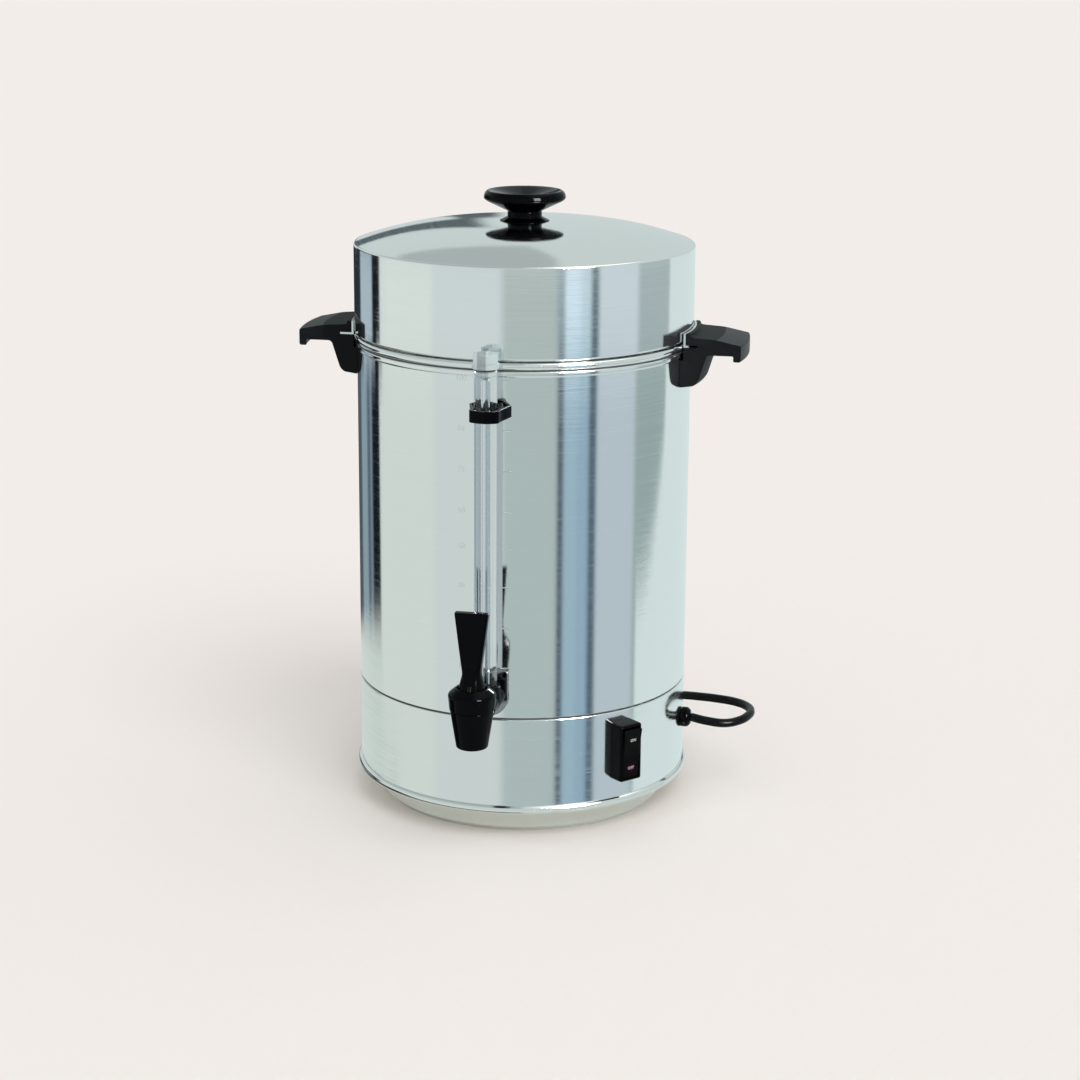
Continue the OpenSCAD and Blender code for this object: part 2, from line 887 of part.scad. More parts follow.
module handle() {
    face_r = tank_r + fit;
    root_r = face_r + leg_root;
    foot_out = face_r + leg_foot;
    under_slot = bracket_z - fit;
    over_slot = bracket_z + bracket_t + fit;
    top_mid = (upstand_r + handle_reach) / 2;
    difference() {
        intersection() {
            rotate_extrude()
                polygon([
                    [face_r, leg_z], [foot_out, leg_z + 1.6], [foot_out + 3, leg_z + 4.4],
                    [root_r - 3, grip_z - 2], [root_r, grip_z], [handle_reach - grip_lip, grip_z],
                    [handle_reach - grip_lip, grip_z - grip_lip_drop + 1],
                    [handle_reach - grip_lip + 1, grip_z - grip_lip_drop],
                    [handle_reach - 1, grip_z - grip_lip_drop],
                    [handle_reach, grip_z - grip_lip_drop + 1], [handle_reach, grip_edge - 0.8],
                    [handle_reach - 1, grip_edge], [top_mid, grip_top - 0.3 * grip_fall],
                    [upstand_r + upstand_t + 2, grip_top], [upstand_r + upstand_t, grip_top + 1],
                    [upstand_r + upstand_t, bracket_top - 1.2], [upstand_r + upstand_t - 1.2, bracket_top],
                    [upstand_r, bracket_top], [upstand_r, over_slot], [slot_reach + fit, over_slot],
                    [slot_reach + fit, under_slot], [rim_outer_r + slip, under_slot],
                    [rim_outer_r + slip, leg_clear_z], [face_r, leg_clear_z]
                ]);
            translate([0, -handle_w / 2, leg_z - cut])
                cube([handle_reach + cut, handle_w, bracket_top - leg_z + 2 * cut]);
        }
        translate([0, 0, handle_screw_z])
            rotate([0, 0, 90])
                outward(handle_screw_d, tank_r - cut, foot_out + 2);
    }
}

module handle_right() {
    color("#1c1f20")
        handle();
}

module handle_left() {
    color("#1c1f20")
        mirror([1, 0, 0])
            handle();
}

module bracket() {
    intersection() {
        rotate_extrude()
            polygon([
                [bracket_r, bracket_z], [slot_reach, bracket_z], [slot_reach, bracket_z + bracket_t],
                [bracket_r + bracket_t, bracket_z + bracket_t], [bracket_r + bracket_t, bracket_top],
                [bracket_r, bracket_top]
            ]);
        translate([0, -handle_w / 2, bracket_z - cut])
            cube([slot_reach + cut, handle_w, bracket_h + 2 * cut]);
    }
}

module bracket_right() {
    color("whitesmoke")
        bracket();
}

module bracket_left() {
    color("whitesmoke")
        mirror([1, 0, 0])
            bracket();
}

// Puts a copy at each handle's screw, with -Y turned outward
module at_handle_screws() {
    for (turn = [90, 270])
        translate([0, 0, handle_screw_z])
            rotate([0, 0, turn])
                children();
}

module handle_screws() {
    head_y = inner_r - seal_t - fit;
    color("lightgray")
        at_handle_screws() {
            outward(2 * handle_screw_d, head_y - 3.6, head_y);
            outward(handle_screw_d - 2 * running, head_y, tank_r + leg_foot);
        }
}

module handle_seals() {
    color("brown")
        at_handle_screws()
            difference() {
                outward(2.4 * handle_screw_d, inner_r - seal_t - fit, inner_r - fit);
                outward(handle_screw_d + fit, inner_r - seal_t - cut, inner_r + cut);
            }
}

// Gauge

module gauge_tube() {
    color("lightcyan", 0.5)
        at_tube()
            difference() {
                translate([0, 0, tube_z])
                    cylinder(d = tube_d, h = tube_h);
                translate([0, 0, tube_z - cut])
                    cylinder(d = tube_bore, h = bore_top - tube_bore / 2 - tube_z + cut);
                translate([0, 0, bore_top - tube_bore / 2])
                    sphere(d = tube_bore);
                translate([0, 0, tube_z])
                    cylinder(d = vent_d, h = tube_h + cut);
            }
}

module gauge_cap() {
    chamfer = 1.6;
    cap_turn = -19;
    color("azure", 0.6)
        at_tube()
            difference() {
                union() {
                    translate([0, 0, cap_z])
                        cylinder(d = cap_d, h = cap_flange_h);
                    intersection() {
                        translate([0, 0, cap_z + cap_flange_h])
                            rotate([0, 0, cap_turn])
                                hexagon(cap_flats, cap_h);
                        translate([0, 0, cap_z + cap_flange_h])
                            rotate_extrude()
                                polygon([
                                    [0, 0], [cap_flats, 0], [cap_flats, cap_h - chamfer],
                                    [cap_flats / 2 + 1, cap_h - chamfer], [cap_flats / 2 - 1, cap_h],
                                    [0, cap_h]
                                ]);
                    }
                }
                translate([0, 0, cap_z - cut])
                    cylinder(d = tube_d + 2 * fit, h = tube_top - cap_z + cut + fit);
                translate([0, 0, cap_z])
                    cylinder(d = vent_d, h = cap_flange_h + cap_h + cut);
            }
}

module gauge_clip() {
    front = clip_front + clip_t;
    color("black")
        translate([0, 0, clip_z - clip_h / 2])
            difference() {
                linear_extrude(clip_h)
                    polygon([
                        [-clip_foot - clip_t, -tank_r + 4], [-clip_half - clip_t, -clip_front + 3],
                        [-clip_half - clip_t + clip_cut, -front], [clip_half + clip_t - clip_cut, -front],
                        [clip_half + clip_t, -clip_front + 3], [clip_foot + clip_t, -tank_r + 4]
                    ]);
                translate([0, 0, -cut])
                    linear_extrude(clip_h + 2 * cut)
                        polygon([
                            [-clip_foot, -tank_r + 6], [-clip_half, -tube_y], [clip_half, -tube_y],
                            [clip_foot, -tank_r + 6]
                        ]);
                translate([0, -tube_y, -cut])
                    cylinder(d = tube_d + 2 * fit, h = clip_h + 2 * cut);
                translate([0, 0, -cut])
                    cylinder(r = tank_r + fit, h = clip_h + 2 * cut);
            }
}

module gauge_seal() {
    color("brown")
        at_tube()
            translate([0, 0, seal_z])
                difference() {
                    cylinder(d = tube_d, h = tube_z - seal_z);
                    translate([0, 0, -cut])
                        cylinder(d = tube_bore, h = tube_z - seal_z + 2 * cut);
                }
}

// Faucet

module gauge_shank() {
    inner_end = inner_r - gasket_t - nut_t - 3;
    color("#15181a")
        difference() {
            union() {
                translate([0, 0, shank_z]) {
                    outward(shank_d, shank_wall_y, joint_y);
                    saddle(shank_wall_y, shank_wall_y + flange_t);
                    outward(thread_d, inner_end, shank_wall_y + cut);
                    outward(spigot_d, joint_y - cut, joint_y + spigot_l);
                }
                at_tube()
                    translate([0, 0, shank_z])
                        cylinder(d = boss_d, h = boss_h);
            }
            translate([0, 0, shank_z])
                outward(shank_bore, inner_end - cut, joint_y + spigot_l + cut);
            at_tube() {
                translate([0, 0, seal_z])
                    cylinder(d = tube_d + 2 * fit, h = boss_h);
                translate([0, 0, shank_z])
                    cylinder(d = tube_bore, h = boss_h);
            }
        }
}

module shank_nut() {
    color("#24282a")
        translate([0, gasket_t - gasket_seat, shank_z])
            rotate([-90, 0, 0])
                difference() {
                    hexagon(shank_nut_flats, nut_t);
                    translate([0, 0, -cut])
                        cylinder(d = thread_d + 2 * running, h = nut_t + 2 * cut);
                }
}

module shank_gaskets() {
    bore = thread_d + fit;
    color("brown")
        translate([0, 0, shank_z]) {
            difference() {
                saddle(tank_r - 4, shank_wall_y);
                outward(bore, tank_r - 5, shank_wall_y + cut);
                translate([0, 0, -flange_d])
                    cylinder(r = tank_r + fit / 2, h = 2 * flange_d, $fn = wall_facets);
            }
            difference() {
                outward(shank_nut_flats, gasket_seat - gasket_t, gasket_seat);
                outward(bore, gasket_seat - gasket_t - cut, gasket_seat + cut);
            }
        }
}

module faucet_body() {
    color("black")
        difference() {
            union() {
                at_spout() {
                    translate([0, 0, spout_z])
                        cylinder(d1 = spout_d, d2 = body_d, h = body_h);
                    translate([0, 0, step_z])
                        cylinder(r = neck_r, h = bonnet_h - bonnet_wall - fit);
                }
                translate([0, 0, shank_z])
                    outward(inlet_d, joint_y, spout_y);
            }
            at_spout() {
                translate([0, 0, spout_z - cut])
                    cylinder(d = outlet_d, h = seat_z - spout_z + 2 * cut);
                translate([0, 0, seat_z])
                    cylinder(d = chamber_d, h = bonnet_top);
            }
            translate([0, 0, shank_z]) {
                outward(shank_bore, joint_y - cut, spout_y);
                outward(spigot_d + 2 * running, joint_y - cut, joint_y + spigot_l + fit);
            }
        }
}

module faucet_bonnet() {
    low = bonnet_d / 2 - 1.2;
    high = bonnet_d / 2;
    collar_top = bonnet_h + bonnet_collar_h;
    color("#0d0f10")
        at_spout()
            difference() {
                translate([0, 0, bonnet_z])
                    rotate_extrude()
                        polygon([
                            [0, 0], [low, 0], [high, bonnet_h - 2.4], [high - 0.8, bonnet_h - 1],
                            [bonnet_collar_r + bonnet_collar_t, collar_top], [bonnet_collar_r, collar_top],
                            [bonnet_collar_r, bonnet_h], [0, bonnet_h]
                        ]);
                translate([0, 0, bonnet_z - cut])
                    cylinder(r = neck_r + fit, h = bonnet_h - bonnet_wall + cut);
                translate([0, 0, bonnet_z])
                    cylinder(d = stem_d + 4 * running, h = bonnet_h + cut);
            }
}

module faucet_lever() {
    base_r = lever_base_d / 2;
    pocket = stem_d / 2 + slip;
    color("black")
        at_spout()
            difference() {
                union() {
                    translate([0, 0, lever_z])
                        cylinder(r1 = base_r, r2 = lever_neck_w / 2, h = lever_base_h);
                    intersection() {
                        translate([0, lever_neck_t, lever_neck_z])
                            rotate([90, 0, 0])
                                linear_extrude(2 * lever_neck_t)
                                    polygon([
                                        [-lever_neck_w / 2, -2], [lever_neck_w / 2, -2],
                                        [lever_top_w / 2, lever_h], [-lever_top_w / 2, lever_h]
                                    ]);
                        translate([-lever_top_w, 0, lever_neck_z])
                            rotate([90, 0, 90])
                                linear_extrude(2 * lever_top_w)
                                    polygon([
                                        [-lever_neck_t / 2, -2], [lever_neck_t / 2, -2],
                                        [lever_t / 2, lever_h], [-lever_t / 2, lever_h]
                                    ]);
                    }
                }
                translate([-pocket, -base_r + 2, lever_z - cut])
                    cube([2 * pocket, base_r + 3, stem_top + 1.4 - lever_z + cut]);
                translate([-base_r, 0, pin_z])
                    rotate([0, 90, 0])
                        cylinder(d = lever_pin_d, h = lever_base_d);
            }
}

module lever_pin() {
    length = lever_base_d - 5;
    color("lightgray")
        at_spout()
            translate([-length / 2, 0, pin_z])
                rotate([0, 90, 0])
                    cylinder(d = lever_pin_d, h = length);
}

module valve_stem() {
    color("lightgray")
        at_spout()
            difference() {
                translate([0, 0, stem_z])
                    cylinder(d = stem_d, h = stem_top - stem_z);
                translate([-stem_d, 0, pin_z])
                    rotate([0, 90, 0])
                        cylinder(d = lever_pin_d + 2 * running, h = 2 * stem_d);
            }
}

module seat_cup() {
    color("brown")
        at_spout()
            translate([0, 0, cup_z])
                difference() {
                    cylinder(d = cup_d, h = cup_h);
                    translate([0, 0, stem_z - cup_z])
                        cylinder(d = stem_d, h = cup_h);
                }
}

module valve_spring() {
    color("silver")
        at_spout()
            translate([0, 0, spring_z])
                difference() {
                    cylinder(d = spring_d, h = spring_top - spring_z);
                    translate([0, 0, -cut])
                        cylinder(d = stem_d + 2 * slip, h = spring_top - spring_z + 2 * cut);
                }
}

// Switch, drawn with its front facing -Y

module switch_housing() {
    window_w = switch_w - 2 * frame_t;
    window_h = switch_h - 2 * frame_t;
    window_back = rocker_axis - 8;
    color("#141617")
        at_switch()
            difference() {
                union() {
                    difference() {
                        translate([-switch_w / 2, -switch_front, -switch_h / 2])
                            cube([switch_w, switch_out + 6, switch_h]);
                        translate([0, 0, -switch_h])
                            cylinder(r = tank_r + fit, h = 2 * switch_h);
                    }
                    translate([-cell_w / 2, -tank_r - 1.5, -cell_h / 2])
                        cube([cell_w, cell_depth + 1.5, cell_h]);
                }
                translate([-window_w / 2, -switch_front - cut, -window_h / 2])
                    cube([window_w, switch_front - tank_r - 2 + cut, window_h]);
                translate([-cell_w / 2 + 2, -tank_r - 4, -cell_h / 2 + 2])
                    cube([cell_w - 4, tank_r - window_back + 8, cell_h - 4]);
                translate([-switch_w, -rocker_axis, 0])
                    rotate([0, 90, 0])
                        cylinder(d = rocker_pin_d, h = 2 * switch_w);
            }
}

module switch_rocker() {
    half = rocker_h / 2;
    color("#1a1d1f")
        at_switch()
            translate([0, -rocker_axis, 0])
                rotate([rocker_tilt, 0, 0])
                    difference() {
                        rotate([90, 0, 90])
                            translate([0, 0, -rocker_w / 2])
                                linear_extrude(rocker_w)
                                    polygon([
                                        [-rocker_crown + 1.2, 0], [-rocker_crown - 0.6, half],
                                        [-2.6, half], [2.6, 8], [2.6, -8], [-2.6, -half],
                                        [-rocker_crown - 0.6, -half]
                                    ]);
                        translate([-switch_w, 0, 0])
                            rotate([0, 90, 0])
                                cylinder(d = rocker_pin_d + 2 * running, h = 2 * switch_w);
                    }
}

module rocker_pin() {
    color("lightgray")
        at_switch()
            translate([-switch_w / 2 + 0.4, -rocker_axis, 0])
                rotate([0, 90, 0])
                    cylinder(d = rocker_pin_d, h = switch_w - 0.8);
}

module switch_terminals() {
    color("goldenrod")
        at_switch()
            for (z = [-tab_step, 0, tab_step])
                translate([-3.2, -switch_back, z - 0.4])
                    cube([6.4, terminal_l, 0.8]);
}

// Cord and plug

module strain_relief() {
    color("black")
        translate([0, 0, cord_z])
            rotate([0, 0, 90]) {
                difference() {
                    outward(relief_d, tank_r - 3, relief_face - 1.4);
                    translate([0, 0, -relief_d])
                        cylinder(r = tank_r + fit / 2, h = 2 * relief_d);
                }
                outward(relief_d - 3, relief_face - 2, relief_face);
                outward(relief_hole_d - 2 * fit, relief_inner + 3, tank_r + 3);
                outward(relief_hole_d + 2, relief_inner, inner_r - 2);
            }
}

module power_cord() {
    color("#101112")
        swept_tube(concat(cord_route, [coil_first]), cord_d, cord_sides, [1, 0, 0], coil_heading(0));
}

module cord_coil() {
    color("#101112")
        swept_tube(coil_path, cord_d, coil_sides, coil_heading(0), coil_heading(coil_turns));
}

module cord_tie() {
    room_w = cord_d + 2 * tie_room;
    room_h = cord_d + coil_pitch + 2 * tie_room;
    color("dimgray")
        translate([coil_x, coil_y, coil_z - cord_d / 2 - tie_room])
            rotate([0, 0, tie_angle])
                translate([coil_radius(tie_turn), 0, 0])
                    difference() {
                        translate([-room_w / 2 - tie_t, -tie_w / 2, -tie_t])
                            cube([room_w + 2 * tie_t, tie_w, room_h + 2 * tie_t]);
                        translate([-room_w / 2, -tie_w / 2 - cut, 0])
                            cube([room_w, tie_w + 2 * cut, room_h]);
                    }
}

// Moves to the end of the coil with +X along the plug
module at_plug() {
    translate(coil_last)
        rotate([0, 0, plug_heading])
            children();
}

module plug_body() {
    color("#141516")
        at_plug() {
            rotate([0, 90, 0])
                cylinder(d1 = cord_d + 2, d2 = cord_d + 6, h = plug_neck + 1);
            translate([plug_neck, -plug_w / 2, -plug_t / 2])
                cube([plug_l, plug_w, plug_t]);
        }
}

module plug_blades() {
    color("goldenrod")
        at_plug()
            for (side = [-1, 1])
                translate([plug_neck + plug_l, side * blade_gap / 2 - blade_t / 2, -blade_w / 2])
                    cube([blade_l, blade_t, blade_w]);
}

// Pump and basket

module pump_tube() {
    color("silver")
        difference() {
            union() {
                translate([0, 0, bell_z + bell_h])
                    cylinder(d = pump_d, h = pump_top - bell_z - bell_h);
                translate([0, 0, basket_z - stop_h])
                    cylinder(d = stop_d, h = stop_h);
            }
            translate([0, 0, bell_z])
                cylinder(d = pump_bore, h = pump_top);
        }
}

module pump_base() {
    top = bell_z + bell_h;
    color("silver")
        rotate_extrude()
            polygon([
                [bell_d / 2 - 2, bell_z], [bell_d / 2, bell_z], [bell_d / 2, bell_z + 3],
                [pump_d / 2 + 3, top], [pump_bore / 2, top], [pump_bore / 2, top - 3],
                [pump_d / 2 + 1, top - 3], [bell_d / 2 - 2, bell_z + 2]
            ]);
}

module basket() {
    color("gainsboro")
        difference() {
            rotate_extrude()
                polygon([
                    [sleeve_d / 2 - basket_t, basket_z], [basket_d / 2, basket_z],
                    [basket_d / 2, basket_top], [basket_d / 2 - basket_t, basket_top],
                    [basket_d / 2 - basket_t, basket_z + basket_t], [sleeve_d / 2, basket_z + basket_t],
                    [sleeve_d / 2, basket_top - 10], [sleeve_d / 2 - basket_t, basket_top - 10]
                ]);
            for (k = [1:hole_rings])
                for (i = [1:6 * k])
                    rotate([0, 0, i * 60 / k])
                        translate([k * basket_d / 2 / (hole_rings + 1), 0, basket_z - cut])
                            cylinder(d = hole_d, h = basket_t + 2 * cut);
        }
}

module basket_cover() {
    color("gainsboro")
        difference() {
            rotate_extrude()
                polygon([
                    [sleeve_d / 2, basket_top], [cover_d / 2 - basket_t, basket_top],
                    [cover_d / 2 - basket_t, basket_top - cover_lip], [cover_d / 2, basket_top - cover_lip],
                    [cover_d / 2, basket_top + basket_t], [sleeve_d / 2, basket_top + basket_t]
                ]);
            for (i = [1:12])
                rotate([0, 0, i * 30])
                    translate([basket_d / 4, 0, basket_top - cut])
                        cylinder(d = hole_d, h = basket_t + 2 * cut);
        }
}

tank();
base_skirt();
foot_pan();
base_studs();
base_nuts();
heat_shield();
shield_spacers();
shield_nuts();
heating_element();
thermostat();
thermal_fuse();
wires();
lid();
lid_knob();
knob_guard();
knob_screw();
knob_washer();
handle_right();
handle_left();
bracket_right();
bracket_left();
handle_screws();
handle_seals();
gauge_tube();
gauge_cap();
gauge_clip();
gauge_seal();
gauge_shank();
shank_nut();
shank_gaskets();
faucet_body();
faucet_bonnet();
faucet_lever();
lever_pin();
valve_stem();
seat_cup();
valve_spring();
switch_housing();
switch_rocker();
rocker_pin();
switch_terminals();
strain_relief();
power_cord();
cord_coil();
cord_tie();
plug_body();
plug_blades();
pump_tube();
pump_base();
basket();
basket_cover();
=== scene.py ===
import math

import bmesh
import bpy
from bpy.props import FloatProperty, FloatVectorProperty, IntProperty, PointerProperty
from bpy.types import Operator, Panel, PropertyGroup
from mathutils import Matrix, Vector


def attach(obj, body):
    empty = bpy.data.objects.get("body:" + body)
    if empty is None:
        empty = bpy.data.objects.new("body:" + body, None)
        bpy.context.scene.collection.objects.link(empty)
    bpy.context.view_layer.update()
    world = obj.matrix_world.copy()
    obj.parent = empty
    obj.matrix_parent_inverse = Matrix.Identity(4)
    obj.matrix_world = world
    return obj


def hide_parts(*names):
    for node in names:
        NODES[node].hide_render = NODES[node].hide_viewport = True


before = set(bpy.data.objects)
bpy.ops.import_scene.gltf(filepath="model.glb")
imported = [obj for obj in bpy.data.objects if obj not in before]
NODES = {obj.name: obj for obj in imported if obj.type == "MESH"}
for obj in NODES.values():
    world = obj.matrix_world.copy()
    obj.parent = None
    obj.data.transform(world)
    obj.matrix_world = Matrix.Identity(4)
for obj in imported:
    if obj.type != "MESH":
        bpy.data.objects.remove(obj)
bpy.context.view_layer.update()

bl_info = {
    "name": "Drinks Urn",
    "version": (1, 0, 0),
    "blender": (4, 5, 0),
    "location": "View3D > Sidebar > Urn",
    "description": "Dresses a percolating drinks urn: shell, mouldings, gauge, faucet, switch and cord",
    "category": "Object",
}

# Outlines and named sizes are in millimetres; shaders, properties and tests of closeness use metres
MM = 0.001
TINY = 1e-9
WELD = 1e-7
NEAR = 1e-6

# A face counts as facing along an axis where the cosine of its normal to that axis is above this
FACING = 0.999

QUARTER = math.radians(90)

# The camera stands to the right of the faucet by this turn, and looks from this heading
TAP_TURN = math.radians(11)
AHEAD = math.atan2(-math.cos(TAP_TURN), math.sin(TAP_TURN))


class UrnSizes(PropertyGroup):
    """Sizes of the dressed urn that a user may change"""

    lathe_steps: IntProperty(name="Turning steps", description="Steps in a full turn of the large shells",
                             default=256, min=48, max=512)
    small_steps: IntProperty(name="Small turning steps", description="Steps in a full turn of small pieces",
                             default=96, min=24, max=256)
    cord_diameter: FloatProperty(name="Cord diameter", description="Outside diameter of the mains cord",
                                 default=0.007, min=0.004, max=0.01, unit="LENGTH")
    mark_height: FloatProperty(name="Mark height", description="Height of the gauge's numbers",
                               default=0.0042, min=0.002, max=0.008, unit="LENGTH")
    mark_relief: FloatProperty(name="Mark relief", description="How far the marks stand out of the tank",
                               default=0.00025, min=0.0001, max=0.001, unit="LENGTH")
    edge_round: FloatProperty(name="Edge rounding", description="Rounding along the edges of the handles",
                              default=0.0011, min=0.0002, max=0.003, unit="LENGTH")


class UrnColours(PropertyGroup):
    """Colours of the dressed urn that a user may change"""

    aluminium: FloatVectorProperty(name="Aluminium", description="Polished shell", subtype="COLOR",
                                   default=(0.90, 0.91, 0.905), min=0, max=1)
    steel: FloatVectorProperty(name="Steel", description="Screws, pins and brackets", subtype="COLOR",
                               default=(0.76, 0.78, 0.79), min=0, max=1)
    foot: FloatVectorProperty(name="Foot", description="Pale satin paint of the foot pan", subtype="COLOR",
                              default=(0.66, 0.69, 0.63), min=0, max=1)
    gloss_black: FloatVectorProperty(name="Gloss black", description="Knob, faucet and switch",
                                     subtype="COLOR", default=(0.0012, 0.0013, 0.002), min=0, max=1)
    satin_black: FloatVectorProperty(name="Satin black", description="Handles", subtype="COLOR",
                                     default=(0.002, 0.002, 0.0028), min=0, max=1)
    floor: FloatVectorProperty(name="Floor", description="Pale floor and backdrop", subtype="COLOR",
                               default=(0.896, 0.847, 0.815), min=0, max=1)


# Mesh helpers

def linked(name, data):
    """Put data into the scene as an object."""
    made = bpy.data.objects.new(name, data)
    bpy.context.scene.collection.objects.link(made)
    return made


def soften(bm, geom, offset, segments=3, affect="EDGES", clamp=False):
    """Round edges or corners by an offset in millimetres."""
    bmesh.ops.bevel(bm, geom=geom, offset=offset * MM, offset_type="OFFSET", segments=segments, profile=0.5,
                    affect=affect, material=-1, clamp_overlap=clamp)


def moved(bm, matrix):
    """Carry a shape to its place."""
    bmesh.ops.transform(bm, matrix=matrix, verts=bm.verts[:])
    return bm


def closed(bm):
    """Turn the faces of a closed shape outward."""
    bmesh.ops.recalc_face_normals(bm, faces=bm.faces[:])
    return bm


def span(edge, axis):
    """How far an edge runs along an axis."""
    return abs(edge.verts[0].co[axis] - edge.verts[1].co[axis])


def drawn(bm, spots, corners, segments):
    """Draw a face through spots and round each corner that has a rounding as its third number."""
    verts = [bm.verts.new(spot) for spot in spots]
    bm.faces.new(verts)
    for vert, corner in zip(verts, corners):
        if len(corner) > 2:
            soften(bm, [vert], corner[2], segments, "VERTICES")


def outline(bm, corners, segments=5):
    """Draw a face in the XZ plane from corners of radius, height and rounding, in millimetres."""
    drawn(bm, [(c[0] * MM, 0, c[1] * MM) for c in corners], corners, segments)


def lathe(corners, steps, segments=5):
    """Turn a closed outline about the Z axis and return the closed shell."""
    bm = bmesh.new()
    outline(bm, corners, segments)
    bmesh.ops.delete(bm, geom=bm.faces[:], context="FACES_ONLY")
    axis = [e for e in bm.edges if all(abs(v.co.x) < TINY for v in e.verts)]
    bmesh.ops.delete(bm, geom=axis, context="EDGES")
    bmesh.ops.spin(bm, geom=bm.verts[:] + bm.edges[:], cent=(0, 0, 0), axis=(0, 0, 1), angle=math.tau,
                   steps=steps, use_merge=True)
    bmesh.ops.remove_doubles(bm, verts=bm.verts[:], dist=WELD)
    return closed(bm)


def ring(inner, outer, low, high, steps):
    """Turn a thin ring, in millimetres, with its outer edges rounded."""
    return lathe([(inner, low), (outer, low, 0.2), (outer, high, 0.2), (inner, high)], steps, 2)


def block(low, high, rounding=0.0, segments=3):
    """Make a box between two corners, in millimetres, with rounded edges."""
    bm = bmesh.new()
    bmesh.ops.create_cube(bm, size=1)
    low, high = Vector(low) * MM, Vector(high) * MM
    moved(bm, Matrix.LocRotScale((low + high) / 2, None, high - low))
    if rounding:
        soften(bm, bm.edges[:], rounding, segments)
    return bm


def plate(points, low, high, rounding):
    """Raise a flat outline in the XY plane, in millimetres, from one height to another."""
    bm = bmesh.new()
    drawn(bm, [(p[0] * MM, p[1] * MM, low * MM) for p in points], points, 8)
    made = bmesh.ops.extrude_face_region(bm, geom=bm.faces[:])
    raised = [g for g in made["geom"] if isinstance(g, bmesh.types.BMVert)]
    bmesh.ops.translate(bm, vec=(0, 0, (high - low) * MM), verts=raised)
    closed(bm)
    soften(bm, [e for e in bm.edges if span(e, 2) < TINY], rounding)
    return bm


def flipped(points):
    """Mirror the points of an outline left to right."""
    return [(-x, *rest) for x, *rest in points]


def merged(*shapes):
    """Gather several closed shapes into one."""
    whole = shapes[0]
    for shape in shapes[1:]:
        mesh = bpy.data.meshes.new("gather")
        shape.to_mesh(mesh)
        shape.free()
        whole.from_mesh(mesh)
        bpy.data.meshes.remove(mesh)
    return whole


CAPITAL_SHARE = 0.7


def letters(words, height, depth):
    """Make raised lettering in the XY plane, centred on the origin."""
    curve = bpy.data.curves.new("letters", "FONT")
    curve.body = words
    curve.size = height / CAPITAL_SHARE
    curve.extrude = depth / 2
    curve.align_x = "CENTER"
    curve.align_y = "CENTER"
    curve.resolution_u = 4
    holder = linked("letters", curve)
    bpy.context.view_layer.update()
    graph = bpy.context.evaluated_depsgraph_get()
    mesh = bpy.data.meshes.new_from_object(holder.evaluated_get(graph))
    bm = bmesh.new()
    bm.from_mesh(mesh)
    bmesh.ops.remove_doubles(bm, verts=bm.verts[:], dist=WELD)
    bpy.data.objects.remove(holder)
    bpy.data.curves.remove(curve)
    bpy.data.meshes.remove(mesh)
    return bm


def piece(name, bm, material, body, stands_for=(), sharp=35):
    """Finish a shape as a piece that rides on a body and stands for the given nodes."""
    mesh = bpy.data.meshes.new(name)
    bm.to_mesh(mesh)
    bm.free()
    mesh.polygons.foreach_set("use_smooth", [True] * len(mesh.polygons))
    mesh.set_sharp_from_angle(angle=math.radians(sharp))
    mesh.materials.append(material)
    made = linked(name, mesh)
    normals = made.modifiers.new("flat_faces", "WEIGHTED_NORMAL")
    normals.keep_sharp = True
    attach(made, body)
    if stands_for:
        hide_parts(*stands_for)
    return made


def dress(material, *nodes):
    """Give carried-over nodes a finish."""
    for node in nodes:
        for slot in NODES[node].material_slots:
            slot.material = material


def upright(y):
    """Place on an upright axis in front of or behind the urn's own, in millimetres."""
    return Matrix.Translation((0, y * MM, 0))


def lying(z):
    """Turn +Z to the front at a level, in millimetres."""
    return Matrix.Translation((0, 0, z * MM)) @ Matrix.Rotation(QUARTER, 4, "X")


# Places that shapes and finishes share

GAUGE_AXIS = -147
SWITCH_TURN = math.radians(47)
SWITCH_RISE = 66.2
SWITCH_AXIS = 139.1
OFF_RISE = -11.8
ON_RISE = 11.5


def switch_place(out, rise):
    """Place on the front of the skirt at the switch, with +Z outward and +Y up."""
    outward = Vector((math.sin(SWITCH_TURN), -math.cos(SWITCH_TURN), 0))
    across = Vector((math.cos(SWITCH_TURN), math.sin(SWITCH_TURN), 0))
    turn = Matrix((across, Vector((0, 0, 1)), outward)).transposed().to_4x4()
    return Matrix.Translation(outward * out * MM + Vector((0, 0, rise * MM))) @ turn


# Node helpers

def feed(tree, node, inputs):
    """Give a node's inputs plain values, or links from other nodes."""
    for name, value in inputs.items():
        socket = node.inputs[name]
        if isinstance(value, Flow):
            tree.links.new(value.socket, socket)
        elif socket.type == "RGBA":
            socket.default_value = (*value, 1)
        else:
            socket.default_value = value


def add(tree, kind, inputs=None, **settings):
    """Add a shader node with its settings and inputs."""
    node = tree.nodes.new("ShaderNode" + kind)
    for name, value in settings.items():
        setattr(node, name, value)
    feed(tree, node, inputs or {})
    return node


def flow(tree, kind, output, inputs=None, **settings):
    """Add a shader node and return one of its outputs."""
    return Flow(tree, add(tree, kind, inputs, **settings).outputs[output])


